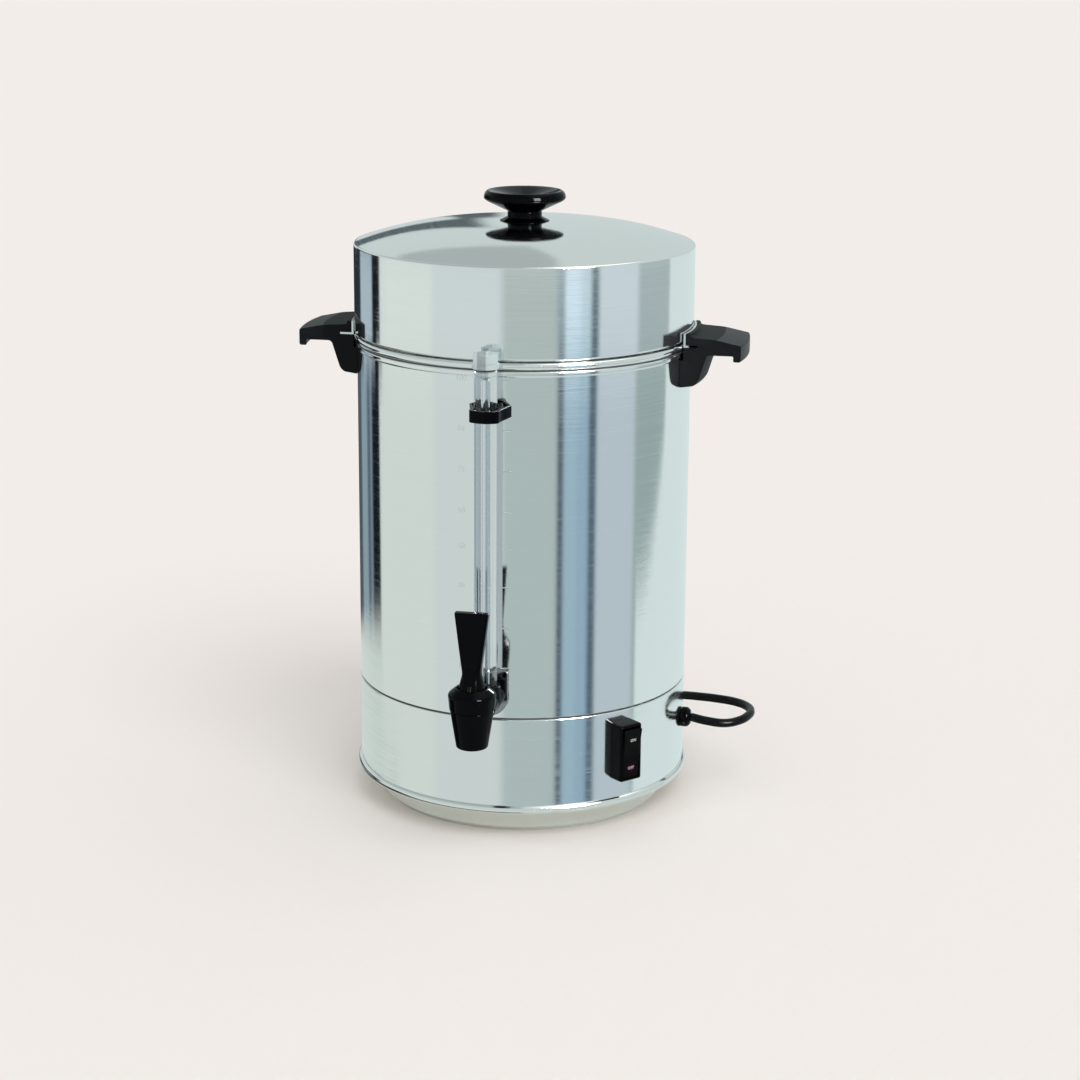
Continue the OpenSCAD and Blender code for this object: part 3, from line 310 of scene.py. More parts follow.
class Flow:
    """A value on its way through a node tree, with plain arithmetic"""

    def __init__(self, tree, socket):
        self.tree = tree
        self.socket = socket

    def by(self, operation, *others):
        """Put the value, and any others that it needs, through a math node."""
        return flow(self.tree, "Math", 0, dict(enumerate((self, *others))), operation=operation)

    def __add__(self, other):
        return self.by("ADD", other)

    def __sub__(self, other):
        return self.by("SUBTRACT", other)

    def __rsub__(self, other):
        return flow(self.tree, "Math", 0, {0: other, 1: self}, operation="SUBTRACT")

    def __mul__(self, other):
        return self.by("MULTIPLY", other)

    def __truediv__(self, other):
        return self.by("DIVIDE", other)

    def axes(self):
        """Split a place or direction into X, Y and Z."""
        split = add(self.tree, "SeparateXYZ", {0: self})
        return [Flow(self.tree, socket) for socket in split.outputs]

    def measure(self, operation, other):
        """Measure a place against another one."""
        return flow(self.tree, "VectorMath", "Value", {0: self, 1: other}, operation=operation)

    def ranged(self, low, high):
        """Map the value from 0 to 1 onto a range."""
        return flow(self.tree, "MapRange", "Result", {"Value": self, "To Min": low, "To Max": high})

    def step(self, low, high):
        """Rise smoothly from 0 to 1 between two values."""
        return flow(self.tree, "MapRange", "Result", {"Value": self, "From Min": low, "From Max": high},
                    interpolation_type="SMOOTHSTEP")

    def band(self, low, high, soft):
        """Rise at one value and fall again at another."""
        return self.step(low - soft, low + soft) * self.step(high + soft, high - soft)

    def blend(self, first, second):
        """Mix two colours by the value."""
        return flow(self.tree, "Mix", "Result", {"Factor": self, "A": first, "B": second}, data_type="RGBA")

    def noise(self, scale, detail, roughness):
        """Noise at the place that the value gives."""
        return flow(self.tree, "TexNoise", "Fac",
                    {"Vector": self, "Scale": scale, "Detail": detail, "Roughness": roughness})

    def bump(self, strength, distance):
        """The surface's direction with the value raised on it."""
        return flow(self.tree, "Bump", "Normal",
                    {"Height": self, "Strength": strength, "Distance": distance})


# Materials

FLAT_FROM = 0.6
LINES_ACROSS = 2600.0
LINES_ALONG = 9.0
LINE_STREAKS = (0.42, 0.72)
GRAIN_HEIGHT = 0.0002
LINE_HEIGHT = 0.0003
CREASE_REACH = (0.1575, 0.1585)
PLASTIC_IOR = 1.46
CLEAR = (0.95, 0.97, 0.98)
CAP_PALE = (0.84, 0.97, 0.97)
# The cap's grey is painted shade for the bore seen through it; the two bore sizes below place that band
# across the camera's view
CAP_PAINTED_SHADE = (0.50, 0.57, 0.58)
BORE_ASIDE = 0.003
BORE_EDGE = (0.0026, 0.0038)
ROCKER_BLACK = (0.0015, 0.0015, 0.002)
LAMP_RED = (0.016, 0.002, 0.004)
LAMP_REACH = 0.0075
LAMP_OUT = 6


def turned_lines(tree):
    """Fine lines left by spinning and polishing: level on upright walls and round on flat faces."""
    x, y, z = flow(tree, "TexCoord", "Object").axes()
    facing = flow(tree, "NewGeometry", "Normal").axes()[2]
    flat = facing.by("ABSOLUTE").by("GREATER_THAN", FLAT_FROM)
    across = (x * x + y * y).by("SQRT") * flat + z * (1 - flat)
    stretch = {0: across * LINES_ACROSS, 1: x * LINES_ALONG, 2: y * LINES_ALONG}
    return {"Lines": flow(tree, "CombineXYZ", 0, stretch).noise(1.0, 4.0, 0.65)}


def moulded_grain(tree):
    """Fine grain of a moulded surface, with slow changes of gloss."""
    place = flow(tree, "TexCoord", "Object")
    return {"Grain": place.noise(2600.0, 2.0, 0.5), "Sheen": place.noise(45.0, 3.0, 0.6)}


def grouped(tree, name, make):
    """Add a shared node group, made the first time it is asked for, and return its outputs."""
    shared = bpy.data.node_groups.get(name)
    if not shared:
        shared = bpy.data.node_groups.new(name, "ShaderNodeTree")
        flows = make(shared)
        for output in flows:
            shared.interface.new_socket(output, in_out="OUTPUT", socket_type="NodeSocketFloat")
        feed(shared, shared.nodes.new("NodeGroupOutput"), flows)
    return [Flow(tree, socket) for socket in add(tree, "Group", node_tree=shared).outputs]


def finish_base(name, colour, roughness, metallic=0.0, shine=0.5):
    """Start a material and return it with its tree and shader."""
    material = bpy.data.materials.new(name)
    material.use_nodes = True
    tree = material.node_tree
    shader = tree.nodes["Principled BSDF"]
    feed(tree, shader, {"Base Color": colour, "Roughness": roughness, "Metallic": metallic,
                        "Specular IOR Level": shine})
    return material, tree, shader


def scaled(colour, amount):
    """A colour made lighter or darker."""
    return tuple(min(1.0, c * amount) for c in colour)


def turned_metal(name, colour, smooth, rough, contrast):
    """Polished or rolled metal with fine turned lines."""
    material, tree, shader = finish_base(name, colour, smooth, 1.0)
    lines = grouped(tree, "Turned lines", turned_lines)[0]
    feed(tree, shader, {
        "Base Color": lines.blend(scaled(colour, 1 - contrast), scaled(colour, 1 + contrast / 2)),
        "Roughness": lines.step(*LINE_STREAKS).ranged(smooth, rough),
        "Normal": lines.bump(0.04, LINE_HEIGHT),
    })
    return material


def moulding(name, colour, smooth, rough, relief, shine=0.5):
    """Moulded plastic with a fine grain."""
    material, tree, shader = finish_base(name, colour, smooth, shine=shine)
    grain, sheen = grouped(tree, "Moulded grain", moulded_grain)
    feed(tree, shader, {
        "Base Color": grain.blend(scaled(colour, 0.85), scaled(colour, 1.15)),
        "Roughness": sheen.ranged(smooth, rough),
        "Normal": grain.bump(relief, GRAIN_HEIGHT),
    })
    return material


def handle_moulding(colour):
    """Satin black of the handles, grained near the urn and smoother past the crease, where the colour is
    painted lighter as a painted sheen.
    """
    material, tree, shader = finish_base("handle_moulding", colour, 0.4, shine=0.15)
    grain = grouped(tree, "Moulded grain", moulded_grain)[0]
    x, y, _ = flow(tree, "TexCoord", "Object").axes()
    past = (x * x + y * y).by("SQRT").step(*CREASE_REACH)
    feed(tree, shader, {
        # Past the crease the base colour is painted lighter, a painted sheen on the smooth part
        "Base Color": past.blend(colour, scaled(colour, 2.2)),
        "Roughness": past.ranged(0.52, 0.34) + grain * 0.12,
        "Normal": grain.bump(0.12, GRAIN_HEIGHT),
    })
    return material


def clear_plastic(name, colour, clearness, smooth, rough):
    """Clear or frosted plastic of the gauge, with its tree and shader."""
    material, tree, shader = finish_base(name, colour, smooth)
    sheen = grouped(tree, "Moulded grain", moulded_grain)[1]
    feed(tree, shader, {"Transmission Weight": clearness, "IOR": PLASTIC_IOR,
                        "Roughness": sheen.ranged(smooth, rough)})
    return material, tree, shader


def cap_plastic():
    """Frosted plastic of the gauge's cap, with a grey band of painted shade where the tube's bore would show
    through it.
    """
    material, tree, shader = clear_plastic("frosted_cap", CAP_PALE, 0.45, 0.03, 0.08)
    # A band of painted shade, laid across the camera's view of the cap
    across = (math.cos(TAP_TURN), math.sin(TAP_TURN), 0)
    aside = flow(tree, "TexCoord", "Object").measure("DOT_PRODUCT", across)
    middle = GAUGE_AXIS * MM * math.sin(TAP_TURN) - BORE_ASIDE
    away = (aside - middle).by("ABSOLUTE")
    feed(tree, shader, {"Base Color": away.step(*BORE_EDGE).blend(CAP_PAINTED_SHADE, CAP_PALE)})
    return material


def rocker_face():
    """Gloss black rocker with a dim red lamp behind its lower half."""
    material, tree, shader = finish_base("rocker_face", ROCKER_BLACK, 0.12, shine=0.06)
    grain, sheen = grouped(tree, "Moulded grain", moulded_grain)
    lamp = switch_place(SWITCH_AXIS + LAMP_OUT, SWITCH_RISE + OFF_RISE).translation
    glow = flow(tree, "TexCoord", "Object").measure("DISTANCE", lamp).step(LAMP_REACH, 0)
    feed(tree, shader, {
        "Base Color": glow.blend(ROCKER_BLACK, LAMP_RED),
        "Roughness": sheen.ranged(0.08, 0.18),
        "Normal": grain.bump(0.03, GRAIN_HEIGHT),
    })
    return material


MATERIALS = {}


def finishes(colours):
    """Make every finish once and return them by name."""
    if MATERIALS:
        return MATERIALS
    aluminium, steel = tuple(colours.aluminium), tuple(colours.steel)
    gloss, satin = tuple(colours.gloss_black), tuple(colours.satin_black)
    MATERIALS.update(
        shell=turned_metal("polished_shell", aluminium, 0.03, 0.16, 0.06),
        skirt=turned_metal("brushed_skirt", aluminium, 0.06, 0.26, 0.07),
        mark=turned_metal("stamped_marks", scaled(aluminium, 0.97), 0.35, 0.45, 0.05),
        basket=turned_metal("rolled_basket", scaled(aluminium, 0.92), 0.15, 0.40, 0.12),
        steel=turned_metal("bright_steel", steel, 0.10, 0.30, 0.08),
        sheath=turned_metal("oxidised_sheath", (0.22, 0.21, 0.20), 0.30, 0.55, 0.20),
        brass=turned_metal("contact_brass", (0.70, 0.50, 0.22), 0.15, 0.35, 0.08),
        dull_brass=turned_metal("dull_brass", (0.022, 0.022, 0.014), 0.40, 0.60, 0.15),
        saddle=turned_metal("dull_steel", (0.30, 0.31, 0.32), 0.05, 0.14, 0.05),
        foot=moulding("satin_foot_paint", tuple(colours.foot), 0.30, 0.45, 0.03),
        gloss=moulding("gloss_black_moulding", gloss, 0.05, 0.12, 0.015, 0.06),
        satin=moulding("satin_black_moulding", satin, 0.34, 0.48, 0.10, 0.14),
        handle=handle_moulding(satin),
        cord=moulding("cord_jacket", (0.002, 0.002, 0.0025), 0.22, 0.36, 0.04, 0.12),
        # The seal finish also paints the dark shade rings in the tank's seam and crease
        seal=moulding("seal_rubber", (0.06, 0.062, 0.064), 0.45, 0.60, 0.08),
        ceramic=moulding("glazed_ceramic", (0.80, 0.76, 0.66), 0.18, 0.30, 0.02),
        wire=moulding("wire_sleeve", (0.36, 0.03, 0.025), 0.25, 0.40, 0.03),
        white=moulding("printed_white", (0.78, 0.80, 0.80), 0.35, 0.50, 0.02),
        lit=moulding("lit_lettering", (0.62, 0.50, 0.64), 0.35, 0.50, 0.02),
        rocker=rocker_face(),
        clear=clear_plastic("clear_gauge", CLEAR, 1.0, 0.0, 0.05)[0],
        frosted=cap_plastic(),
    )
    return MATERIALS


class UrnPiece:
    """What every operator of the urn shares"""

    bl_options = {"REGISTER"}

    def settings(self, context):
        """The sizes that the user may change, and the finishes by name."""
        scene = context.scene
        return scene.urn_sizes, finishes(scene.urn_colours)


# Stage

CAMERA_LENS = 83.74
CAMERA_AT = (0, -1.95, 0.72393)
CAMERA_YAW = math.radians(0.3952)
CAMERA_PITCH = math.radians(14.895)
CAMERA_ROLL = math.radians(0.3644)
SUN_STRENGTH = 0.95
SUN_SPREAD = math.radians(35)
SUN_AIM = (-0.75, 1.0, -1.5)
FLOOR_REACH = 40

# Upright panels of the mirrored studio: headings from the camera in degrees, and the colour between them
LID_PANELS = [
    (-180, -146, (0.02, 0.03, 0.04)),
    (-143, -124.5, (0.41, 0.51, 0.57)),
    (-123, -114.5, (0.008, 0.012, 0.016)),
    (-112.5, -108, (0.70, 0.77, 0.76)),
    (-104, -66, (0.73, 0.81, 0.77)),
    (-62, -17, (0.65, 0.73, 0.73)),
    (-12, 20, (0.46, 0.53, 0.51)),
    (23, 26, (0.33, 0.42, 0.46)),
    (28, 36, (0.72, 0.88, 0.99)),
    (40, 44, (0.58, 0.74, 0.82)),
    (46.5, 49.5, (0.13, 0.19, 0.21)),
    (51.5, 80, (0.62, 0.72, 0.77)),
    (84, 112, (0.40, 0.48, 0.49)),
    (118, 180, (0.62, 0.72, 0.66)),
]
BODY_PANELS = [
    (-180, -155, (0.08, 0.10, 0.13)),
    (-151, -140, (0.25, 0.34, 0.39)),
    (-137.5, -134, (0.09, 0.13, 0.18)),
    (-133, -131, (0.19, 0.25, 0.30)),
    (-128.5, -119.5, (0.008, 0.012, 0.016)),
    (-117, -66, (0.67, 0.74, 0.70)),
    (-62, -17, (0.63, 0.70, 0.69)),
    (-12, 22, (0.44, 0.53, 0.53)),
    (23.5, 26, (0.09, 0.12, 0.15)),
    (28, 35, (0.34, 0.49, 0.58)),
    (38, 44, (0.30, 0.44, 0.55)),
    (46, 49.5, (0.09, 0.14, 0.18)),
    (51.5, 80, (0.49, 0.58, 0.63)),
    (84, 180, (0.32, 0.41, 0.41)),
]
LEFT_TABLE = (0.63, 0.71, 0.67)
RIGHT_TABLE = (0.69, 0.80, 0.80)
LIGHT_WALL = (0.60, 0.68, 0.67)
DARK_WALL = (0.10, 0.13, 0.14)
GREY_WALL = (0.42, 0.48, 0.47)
WINDOW = (56.0, 58.0, 61.0)
SOFTBOX = (1.5, 1.5, 1.5)
LOW_DARK = (0.05, 0.048, 0.045)
SEEN_THROUGH = (0.42, 0.47, 0.50)
SOFT_FILL = (0.77, 0.77, 0.77)

# Elevations and headings in degrees at which one part of the mirrored studio gives way to the next
LID_TO_BODY = (-10.7, -11.0)
LEFT_TABLE_RISE = (-16.4, -17.2)
LEFT_TABLE_HEADING = (-115, -117)
TABLE_RISE = (-24.0, -30.0)
UNDER_RISE = (-20.8, -22.4)
UNDER_HEADING = (-96, -104)
RIGHT_TABLE_TOP = 12.2
RIGHT_TABLE_FALL = -3.7
RIGHT_TABLE_REACH = 29.0
RIGHT_TABLE_START = 85.0
RIGHT_TABLE_SOFT = (-1.5, 1.5)
UPPER_RISE = (-8.2, -7.4)
GREY_RISE = (29.0, 32.0)
GREY_SLANT = 900.0
LOW_RISE = (9.0, 5.0)

# Bands by where they begin, where they end and how soft they are; patches by heading and by elevation
NO_GREY = (20, 174.5, 1.0)
LOW_HEADING = (-152, -113, 2.0)
STREAK_PATCH = ((-178.5, -166, 0.5), (5.0, 12.5, 0.6))
POST_PATCH = ((-179.2, -177.6, 0.3), (-6.0, 6.0, 0.6))
WINDOW_PATCH = ((27, 46, 1.5), (13.0, 36.0, 1.5))
SOFTBOX_PATCH = ((20, 150, 12.0), (48.0, 78.0, 6.0))


class URN_OT_stage(UrnPiece, Operator):
    """Set the camera, the pale floor and the soft studio light"""

    bl_idname = "urn.stage"
    bl_label = "Stage"

    def execute(self, context):
        self.camera(context)
        self.floor(context)
        self.light()
        self.world(context)
        context.scene.view_settings.view_transform = "Standard"
        return {"FINISHED"}

    def camera(self, context):
        data = bpy.data.cameras.new("camera")
        data.lens = CAMERA_LENS
        data.sensor_width = 36
        data.clip_end = 100
        holder = linked("camera", data)
        stand = Matrix.Rotation(TAP_TURN, 4, "Z") @ Matrix.Translation(CAMERA_AT)
        pitch = Matrix.Rotation(QUARTER - CAMERA_PITCH, 4, "X")
        roll = Matrix.Rotation(CAMERA_ROLL, 4, "Z")
        holder.matrix_world = stand @ Matrix.Rotation(-CAMERA_YAW, 4, "Z") @ pitch @ roll
        context.scene.camera = holder

    def floor(self, context):
        """Lay the floor, which is clear from below and which the metal doesn't mirror."""
        bm = bmesh.new()
        bmesh.ops.create_grid(bm, x_segments=1, y_segments=1, size=FLOOR_REACH)
        mesh = bpy.data.meshes.new("floor")
        bm.to_mesh(mesh)
        bm.free()
        holder = linked("floor", mesh)
        holder.visible_glossy = False
        holder.visible_transmission = False
        pale = tuple(context.scene.urn_colours.floor)
        material, tree, shader = finish_base("pale_floor", pale, 0.9, shine=0.0)
        above = Flow(tree, shader.outputs[0])
        below = flow(tree, "BsdfTransparent", 0)
        behind = flow(tree, "NewGeometry", "Backfacing")
        mix = flow(tree, "MixShader", 0, {0: behind, 1: above, 2: below})
        feed(tree, tree.nodes["Material Output"], {"Surface": mix})
        mesh.materials.append(material)

    def light(self):
        data = bpy.data.lights.new("softbox", "SUN")
        data.energy = SUN_STRENGTH
        data.angle = SUN_SPREAD
        holder = linked("softbox", data)
        holder.rotation_mode = "QUATERNION"
        holder.rotation_quaternion = Vector(SUN_AIM).to_track_quat("-Z", "Y")
        holder.visible_glossy = False

    def world(self, context):
        """Give each kind of ray its own surroundings."""
        world = bpy.data.worlds.new("studio")
        world.use_nodes = True
        context.scene.world = world
        tree = world.node_tree
        path = add(tree, "LightPath").outputs
        colour = Flow(tree, path["Is Glossy Ray"]).blend(SOFT_FILL, self.mirrored(tree))
        colour = Flow(tree, path["Is Transmission Ray"]).blend(colour, SEEN_THROUGH)
        pale = tuple(context.scene.urn_colours.floor)
        colour = Flow(tree, path["Is Camera Ray"]).blend(colour, pale)
        feed(tree, tree.nodes["Background"], {"Color": colour, "Strength": 1.0})

    def mirrored(self, tree):
        """The studio that the polished metal mirrors, by heading from the camera and by elevation."""
        x, y, z = flow(tree, "TexCoord", "Generated").axes()
        share = ((y.by("ARCTAN2", x) - AHEAD) / math.tau + 1.5).by("FRACT")
        heading = share * 360 - 180
        rise = z.by("ARCSINE").by("DEGREES")
        colour = self.lower(share, heading, rise)
        colour = rise.step(*UPPER_RISE).blend(colour, self.upper(share, heading, rise))
        colour = self.patch(heading, rise, WINDOW_PATCH).blend(colour, WINDOW)
        return self.patch(heading, rise, SOFTBOX_PATCH).blend(colour, SOFTBOX)

    def lower(self, share, heading, rise):
        """What lies below the eye: the upright panels, and the table on both sides and in front."""
        lid_panels = self.panels(share, LID_PANELS)
        colour = rise.step(*LID_TO_BODY).blend(lid_panels, self.panels(share, BODY_PANELS))
        low_left = rise.step(*LEFT_TABLE_RISE) * heading.step(*LEFT_TABLE_HEADING)
        colour = low_left.blend(colour, LEFT_TABLE)
        fall = (rise + RIGHT_TABLE_TOP) / RIGHT_TABLE_FALL
        rest = (1 - fall.by("MAXIMUM", 0)).by("MAXIMUM", 0)
        edge = rest.by("SQRT") * RIGHT_TABLE_REACH + RIGHT_TABLE_START
        colour = (heading - edge).step(*RIGHT_TABLE_SOFT).blend(colour, RIGHT_TABLE)
        colour = rise.step(*TABLE_RISE).blend(colour, LEFT_TABLE)
        under = rise.step(*UNDER_RISE) * heading.step(*UNDER_HEADING)
        return under.blend(colour, LOW_DARK)

    def upper(self, share, heading, rise):
        """What lies above the eye: a light wall with a grey part, and dark marks on the left."""
        back = (share + 0.5).by("FRACT") - 0.5
        slant = back.by("MINIMUM", 0) * GREY_SLANT
        grey = (rise + slant).step(*GREY_RISE) * (1 - heading.band(*NO_GREY))
        colour = grey.blend(LIGHT_WALL, GREY_WALL)
        low = heading.band(*LOW_HEADING) * rise.step(*LOW_RISE)
        colour = low.blend(colour, LOW_DARK)
        streak = self.patch(heading, rise, STREAK_PATCH)
        post = self.patch(heading, rise, POST_PATCH)
        return streak.by("MAXIMUM", post).blend(colour, DARK_WALL)

    def patch(self, heading, rise, bands):
        return heading.band(*bands[0]) * rise.band(*bands[1])

    def panels(self, share, rows):
        node = add(share.tree, "ValToRGB", {0: share})
        ramp = node.color_ramp
        stops = [(edge, colour) for start, end, colour in rows for edge in (start, end)]
        while len(ramp.elements) < len(stops):
            ramp.elements.new(0.5)
        for element, (edge, colour) in zip(ramp.elements, stops):
            element.position = (edge + 180) / 360
            element.color = (*colour, 1)
        return Flow(share.tree, node.outputs["Color"])


# Cord

CORD_ROUTE = [
    (138.5, 0, 65), (152, 0, 62.5), (166, 2, 61), (176, 10, 61), (182, 23, 61), (183, 38, 60.5),
    (178, 53, 59.5), (167, 65, 58.5), (152, 74.5, 57), (136, 84.5, 54.5), (121, 96, 51), (107, 109, 46.5),
    (95, 123, 40.5), (84, 138, 33), (74, 153, 25), (64, 168, 17.5), (54, 182, 11), (44.5, 194, 7),
]
CORD_LEVEL = 65
COIL_MIDDLE = (0, 180)
COIL_RADIUS = 42
COIL_PITCH = 7.6
COIL_LOW = 5
COIL_START = 45
COIL_TURNS = 2.25
COIL_BACK = 1.25
COIL_CLIMB = 0.5
COIL_KNOTS = 24
COIL_LEAD = 7
COIL_RUN = 25.65
PLUG_START, PLUG_END = 12, 42
PLUG_HALF_W, PLUG_HALF_T = 13.5, 11
RIBS = 4
RIB_PITCH = 2.6
RIB_WIDTH = 1.3
RIB_GROWTH = 0.36
RIDGE_START, RIDGE_WIDTH, RIDGE_PITCH = 18, 2, 4
RIDGE_ASIDE, RIDGE_HALF_T, RIDGE_HALF_H = 13.2, 0.7, 7
BLADE_START, BLADE_END, BLADE_ASIDE = 41, 58, 6.35
BLADE_HALF_W, BLADE_HALF_T = 3.2, 0.75
TIE_HALF = (4.8, 4, 8.6)
TIE_ROUND = 3.2
TIE_SHEET = 0.8
TIE_LEVEL = 8.8
TIE_TURN = 0.75


def coil_angle(turn):
    """Angle of the put-away coil after some turns."""
    return math.radians(COIL_START + 360 * turn)


def coil_point(turn):
    """A point of the coil, in millimetres: it spirals in, climbs a layer and spirals out."""
    inward = turn if turn < COIL_BACK else 2 * COIL_BACK - turn
    radius = COIL_RADIUS - COIL_PITCH * inward
    climb = min(1, max(0, (turn - COIL_BACK + COIL_CLIMB / 2) / COIL_CLIMB))
    angle = coil_angle(turn)
    return Vector((COIL_MIDDLE[0] + radius * math.cos(angle), COIL_MIDDLE[1] + radius * math.sin(angle),
                   COIL_LOW + COIL_PITCH * climb))


def coil_heading(turn):
    """Direction of the coil in plan."""
    angle = coil_angle(turn)
    return Vector((-math.sin(angle), math.cos(angle), 0))


class URN_OT_cord(UrnPiece, Operator):
    """Lay the mains cord and its coil, with the strain relief, the tie and the plug"""

    bl_idname = "urn.cord"
    bl_label = "Mains cord"

    def execute(self, context):
        sizes, looks = self.settings(context)
        self.relief(sizes, looks)
        plug = self.plug(sizes, looks)
        blades = self.blades(looks)
        tie = self.tie(looks)
        cord = self.cord(sizes, looks)
        return {"FINISHED"}

    def cord(self, sizes, looks):
        points = [Vector(p) for p in CORD_ROUTE]
        points.append(coil_point(0) - COIL_LEAD * coil_heading(0))
        points += [coil_point(i / COIL_KNOTS) for i in range(round(COIL_TURNS * COIL_KNOTS) + 1)]
        for run in (COIL_RUN / 2, COIL_RUN):
            points.append(coil_point(COIL_TURNS) + run * coil_heading(COIL_TURNS))
        curve = bpy.data.curves.new("mains_cord", "CURVE")
        curve.dimensions = "3D"
        curve.bevel_depth = sizes.cord_diameter / 2
        curve.bevel_resolution = 5
        curve.resolution_u = 6
        curve.use_fill_caps = True
        line = curve.splines.new("BEZIER")
        line.bezier_points.add(len(points) - 1)
        for knot, point in zip(line.bezier_points, points):
            knot.co = point * MM
            knot.handle_left_type = knot.handle_right_type = "AUTO"
        curve.materials.append(looks["cord"])
        cord = linked("mains_cord", curve)
        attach(cord, "urn")
        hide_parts("power_cord", "cord_coil")
        return cord

    def length(self, cord):
        line = cord.data.splines[0]
        return round(line.calc_length(), 3)

    def relief(self, sizes, looks):
        shape = lathe([
            (3.4, 122), (6.9, 122, 0.5), (6.9, 128.6), (6.2, 128.6), (6.2, 131.2), (8, 131.2, 0.6),
            (8, 136.4, 1.6), (6.4, 137.4, 0.8), (5.6, 138.4, 0.5), (3.4, 138.4),
        ], sizes.small_steps)
        place = Matrix.Translation((0, 0, CORD_LEVEL * MM)) @ Matrix.Rotation(QUARTER, 4, "Y")
        shape = moved(shape, place)
        piece("strain_relief_bush", shape, looks["gloss"], "urn", ["strain_relief"])

    def plug_place(self):
        heading = coil_heading(COIL_TURNS)
        start = (coil_point(COIL_TURNS) + COIL_RUN * heading) * MM
        turn = Matrix.Rotation(math.atan2(heading.y, heading.x), 4, "Z")
        return Matrix.Translation(start) @ turn

    def plug(self, sizes, looks):
        body = block((PLUG_START, -PLUG_HALF_W, -PLUG_HALF_T), (PLUG_END, PLUG_HALF_W, PLUG_HALF_T), 3.0, 4)
        ribs = [lathe([(0, 0.1), (4.6, 0.1, 0.4), (6.4, 12.8, 0.4), (0, 12.8)], sizes.small_steps)]
        for i in range(RIBS):
            low = 2 + RIB_PITCH * i
            high = low + RIB_WIDTH
            out = 5.3 + RIB_GROWTH * i
            ribs.append(lathe([(4.0, low), (out, low, 0.4), (out + 0.2, high, 0.4), (4.0, high)],
                              sizes.small_steps))
        neck = moved(merged(*ribs), Matrix.Rotation(QUARTER, 4, "Y"))
        ridges = [self.ridge(RIDGE_START + RIDGE_PITCH * i, side) for i in range(RIBS) for side in (-1, 1)]
        shape = moved(merged(body, neck, *ridges), self.plug_place())
        return piece("mains_plug", shape, looks["satin"], "urn", ["plug_body"])

    def ridge(self, start, side):
        """Make one of the ridges that the plug is gripped by."""
        aside = side * RIDGE_ASIDE
        return block((start, aside - RIDGE_HALF_T, -RIDGE_HALF_H),
                     (start + RIDGE_WIDTH, aside + RIDGE_HALF_T, RIDGE_HALF_H), 0.5)

    def blades(self, looks):
        pair = [block((BLADE_START, aside - BLADE_HALF_T, -BLADE_HALF_W),
                      (BLADE_END, aside + BLADE_HALF_T, BLADE_HALF_W), 0.5)
                for aside in (-BLADE_ASIDE, BLADE_ASIDE)]
        shape = moved(merged(*pair), self.plug_place())
        return piece("mains_blades", shape, looks["brass"], "urn", ["plug_blades"])

    def tie(self, looks):
        """Wrap a strap round the cords of the coil: a box without ends, given a thickness."""
        shape = block([-half for half in TIE_HALF], TIE_HALF)
        ends = [f for f in shape.faces if abs(f.normal.y) > FACING]
        bmesh.ops.delete(shape, geom=ends, context="FACES_ONLY")
        soften(shape, [e for e in shape.edges if span(e, 1) > NEAR], TIE_ROUND, 6)
        bmesh.ops.solidify(shape, geom=shape.faces[:], thickness=TIE_SHEET * MM)
        closed(shape)
        radius = COIL_RADIUS - COIL_PITCH * TIE_TURN
        place = (Matrix.Translation((COIL_MIDDLE[0] * MM, COIL_MIDDLE[1] * MM, TIE_LEVEL * MM))
                 @ Matrix.Rotation(coil_angle(TIE_TURN), 4, "Z") @ Matrix.Translation((radius * MM, 0, 0)))
        return piece("coil_tie", moved(shape, place), looks["satin"], "urn", ["cord_tie"])


# Shell

SHEET = 1.2
WALL_R = 131
WALL_BORE = WALL_R - SHEET
WELL_R = 24
WELL_TOP = 97
FLOOR_TOP = 105
TANK_LOW = 99.1
BEAD_R, BEAD_LOW, BEAD_TOP = 132.4, 364.0, 368.3
RIM_R, RIM_BORE, RIM_LOW, RIM_TOP = 133.4, 127.8, 369.2, 374.8
FOOT_BEAD_R, FOOT_BEAD_BORE, FOOT_BEAD_LOW, FOOT_BEAD_TOP = 133.6, 128, 22, 27.6
# Dark rings that stand as painted shade: one in the seam above the skirt, one in the crease between the
# second bead and the rolled rim
SEAM_SHADE_RING = (129.7, 130.2, 97.2, 99.8)
CREASE_SHADE_RING = (130.6, 131.7, 367.9, 369.6)
TONGUE_R, TONGUE_BORE, TONGUE_TOP = 129.6, 128.4, 102
LID_R = 133
LID_BORE = LID_R - SHEET
LID_LOW = 375.9
LIP_R, LIP_BORE, LIP_LOW = 127.4, 126.2, 365.6
DOME_LOW, DOME_RISE, DOME_POWER = 445.1, 17.2, 2.9
DOME_EDGE, DOME_RINGS, DOME_INSIDE = 131.2, 24, 0.992
BASE_LOOKS = {
    "foot": ["foot_pan"],
    "steel": ["base_studs", "base_nuts", "shield_nuts"],
    "basket": ["heat_shield", "shield_spacers"],
    "sheath": ["heating_element"],
    "ceramic": ["thermostat", "thermal_fuse"],
    "wire": ["wires"],
}


def dome(radius):
    """Height of the lid's dome at a radius, in millimetres."""
    return DOME_LOW + DOME_RISE * (1 - (radius / LID_R) ** DOME_POWER)


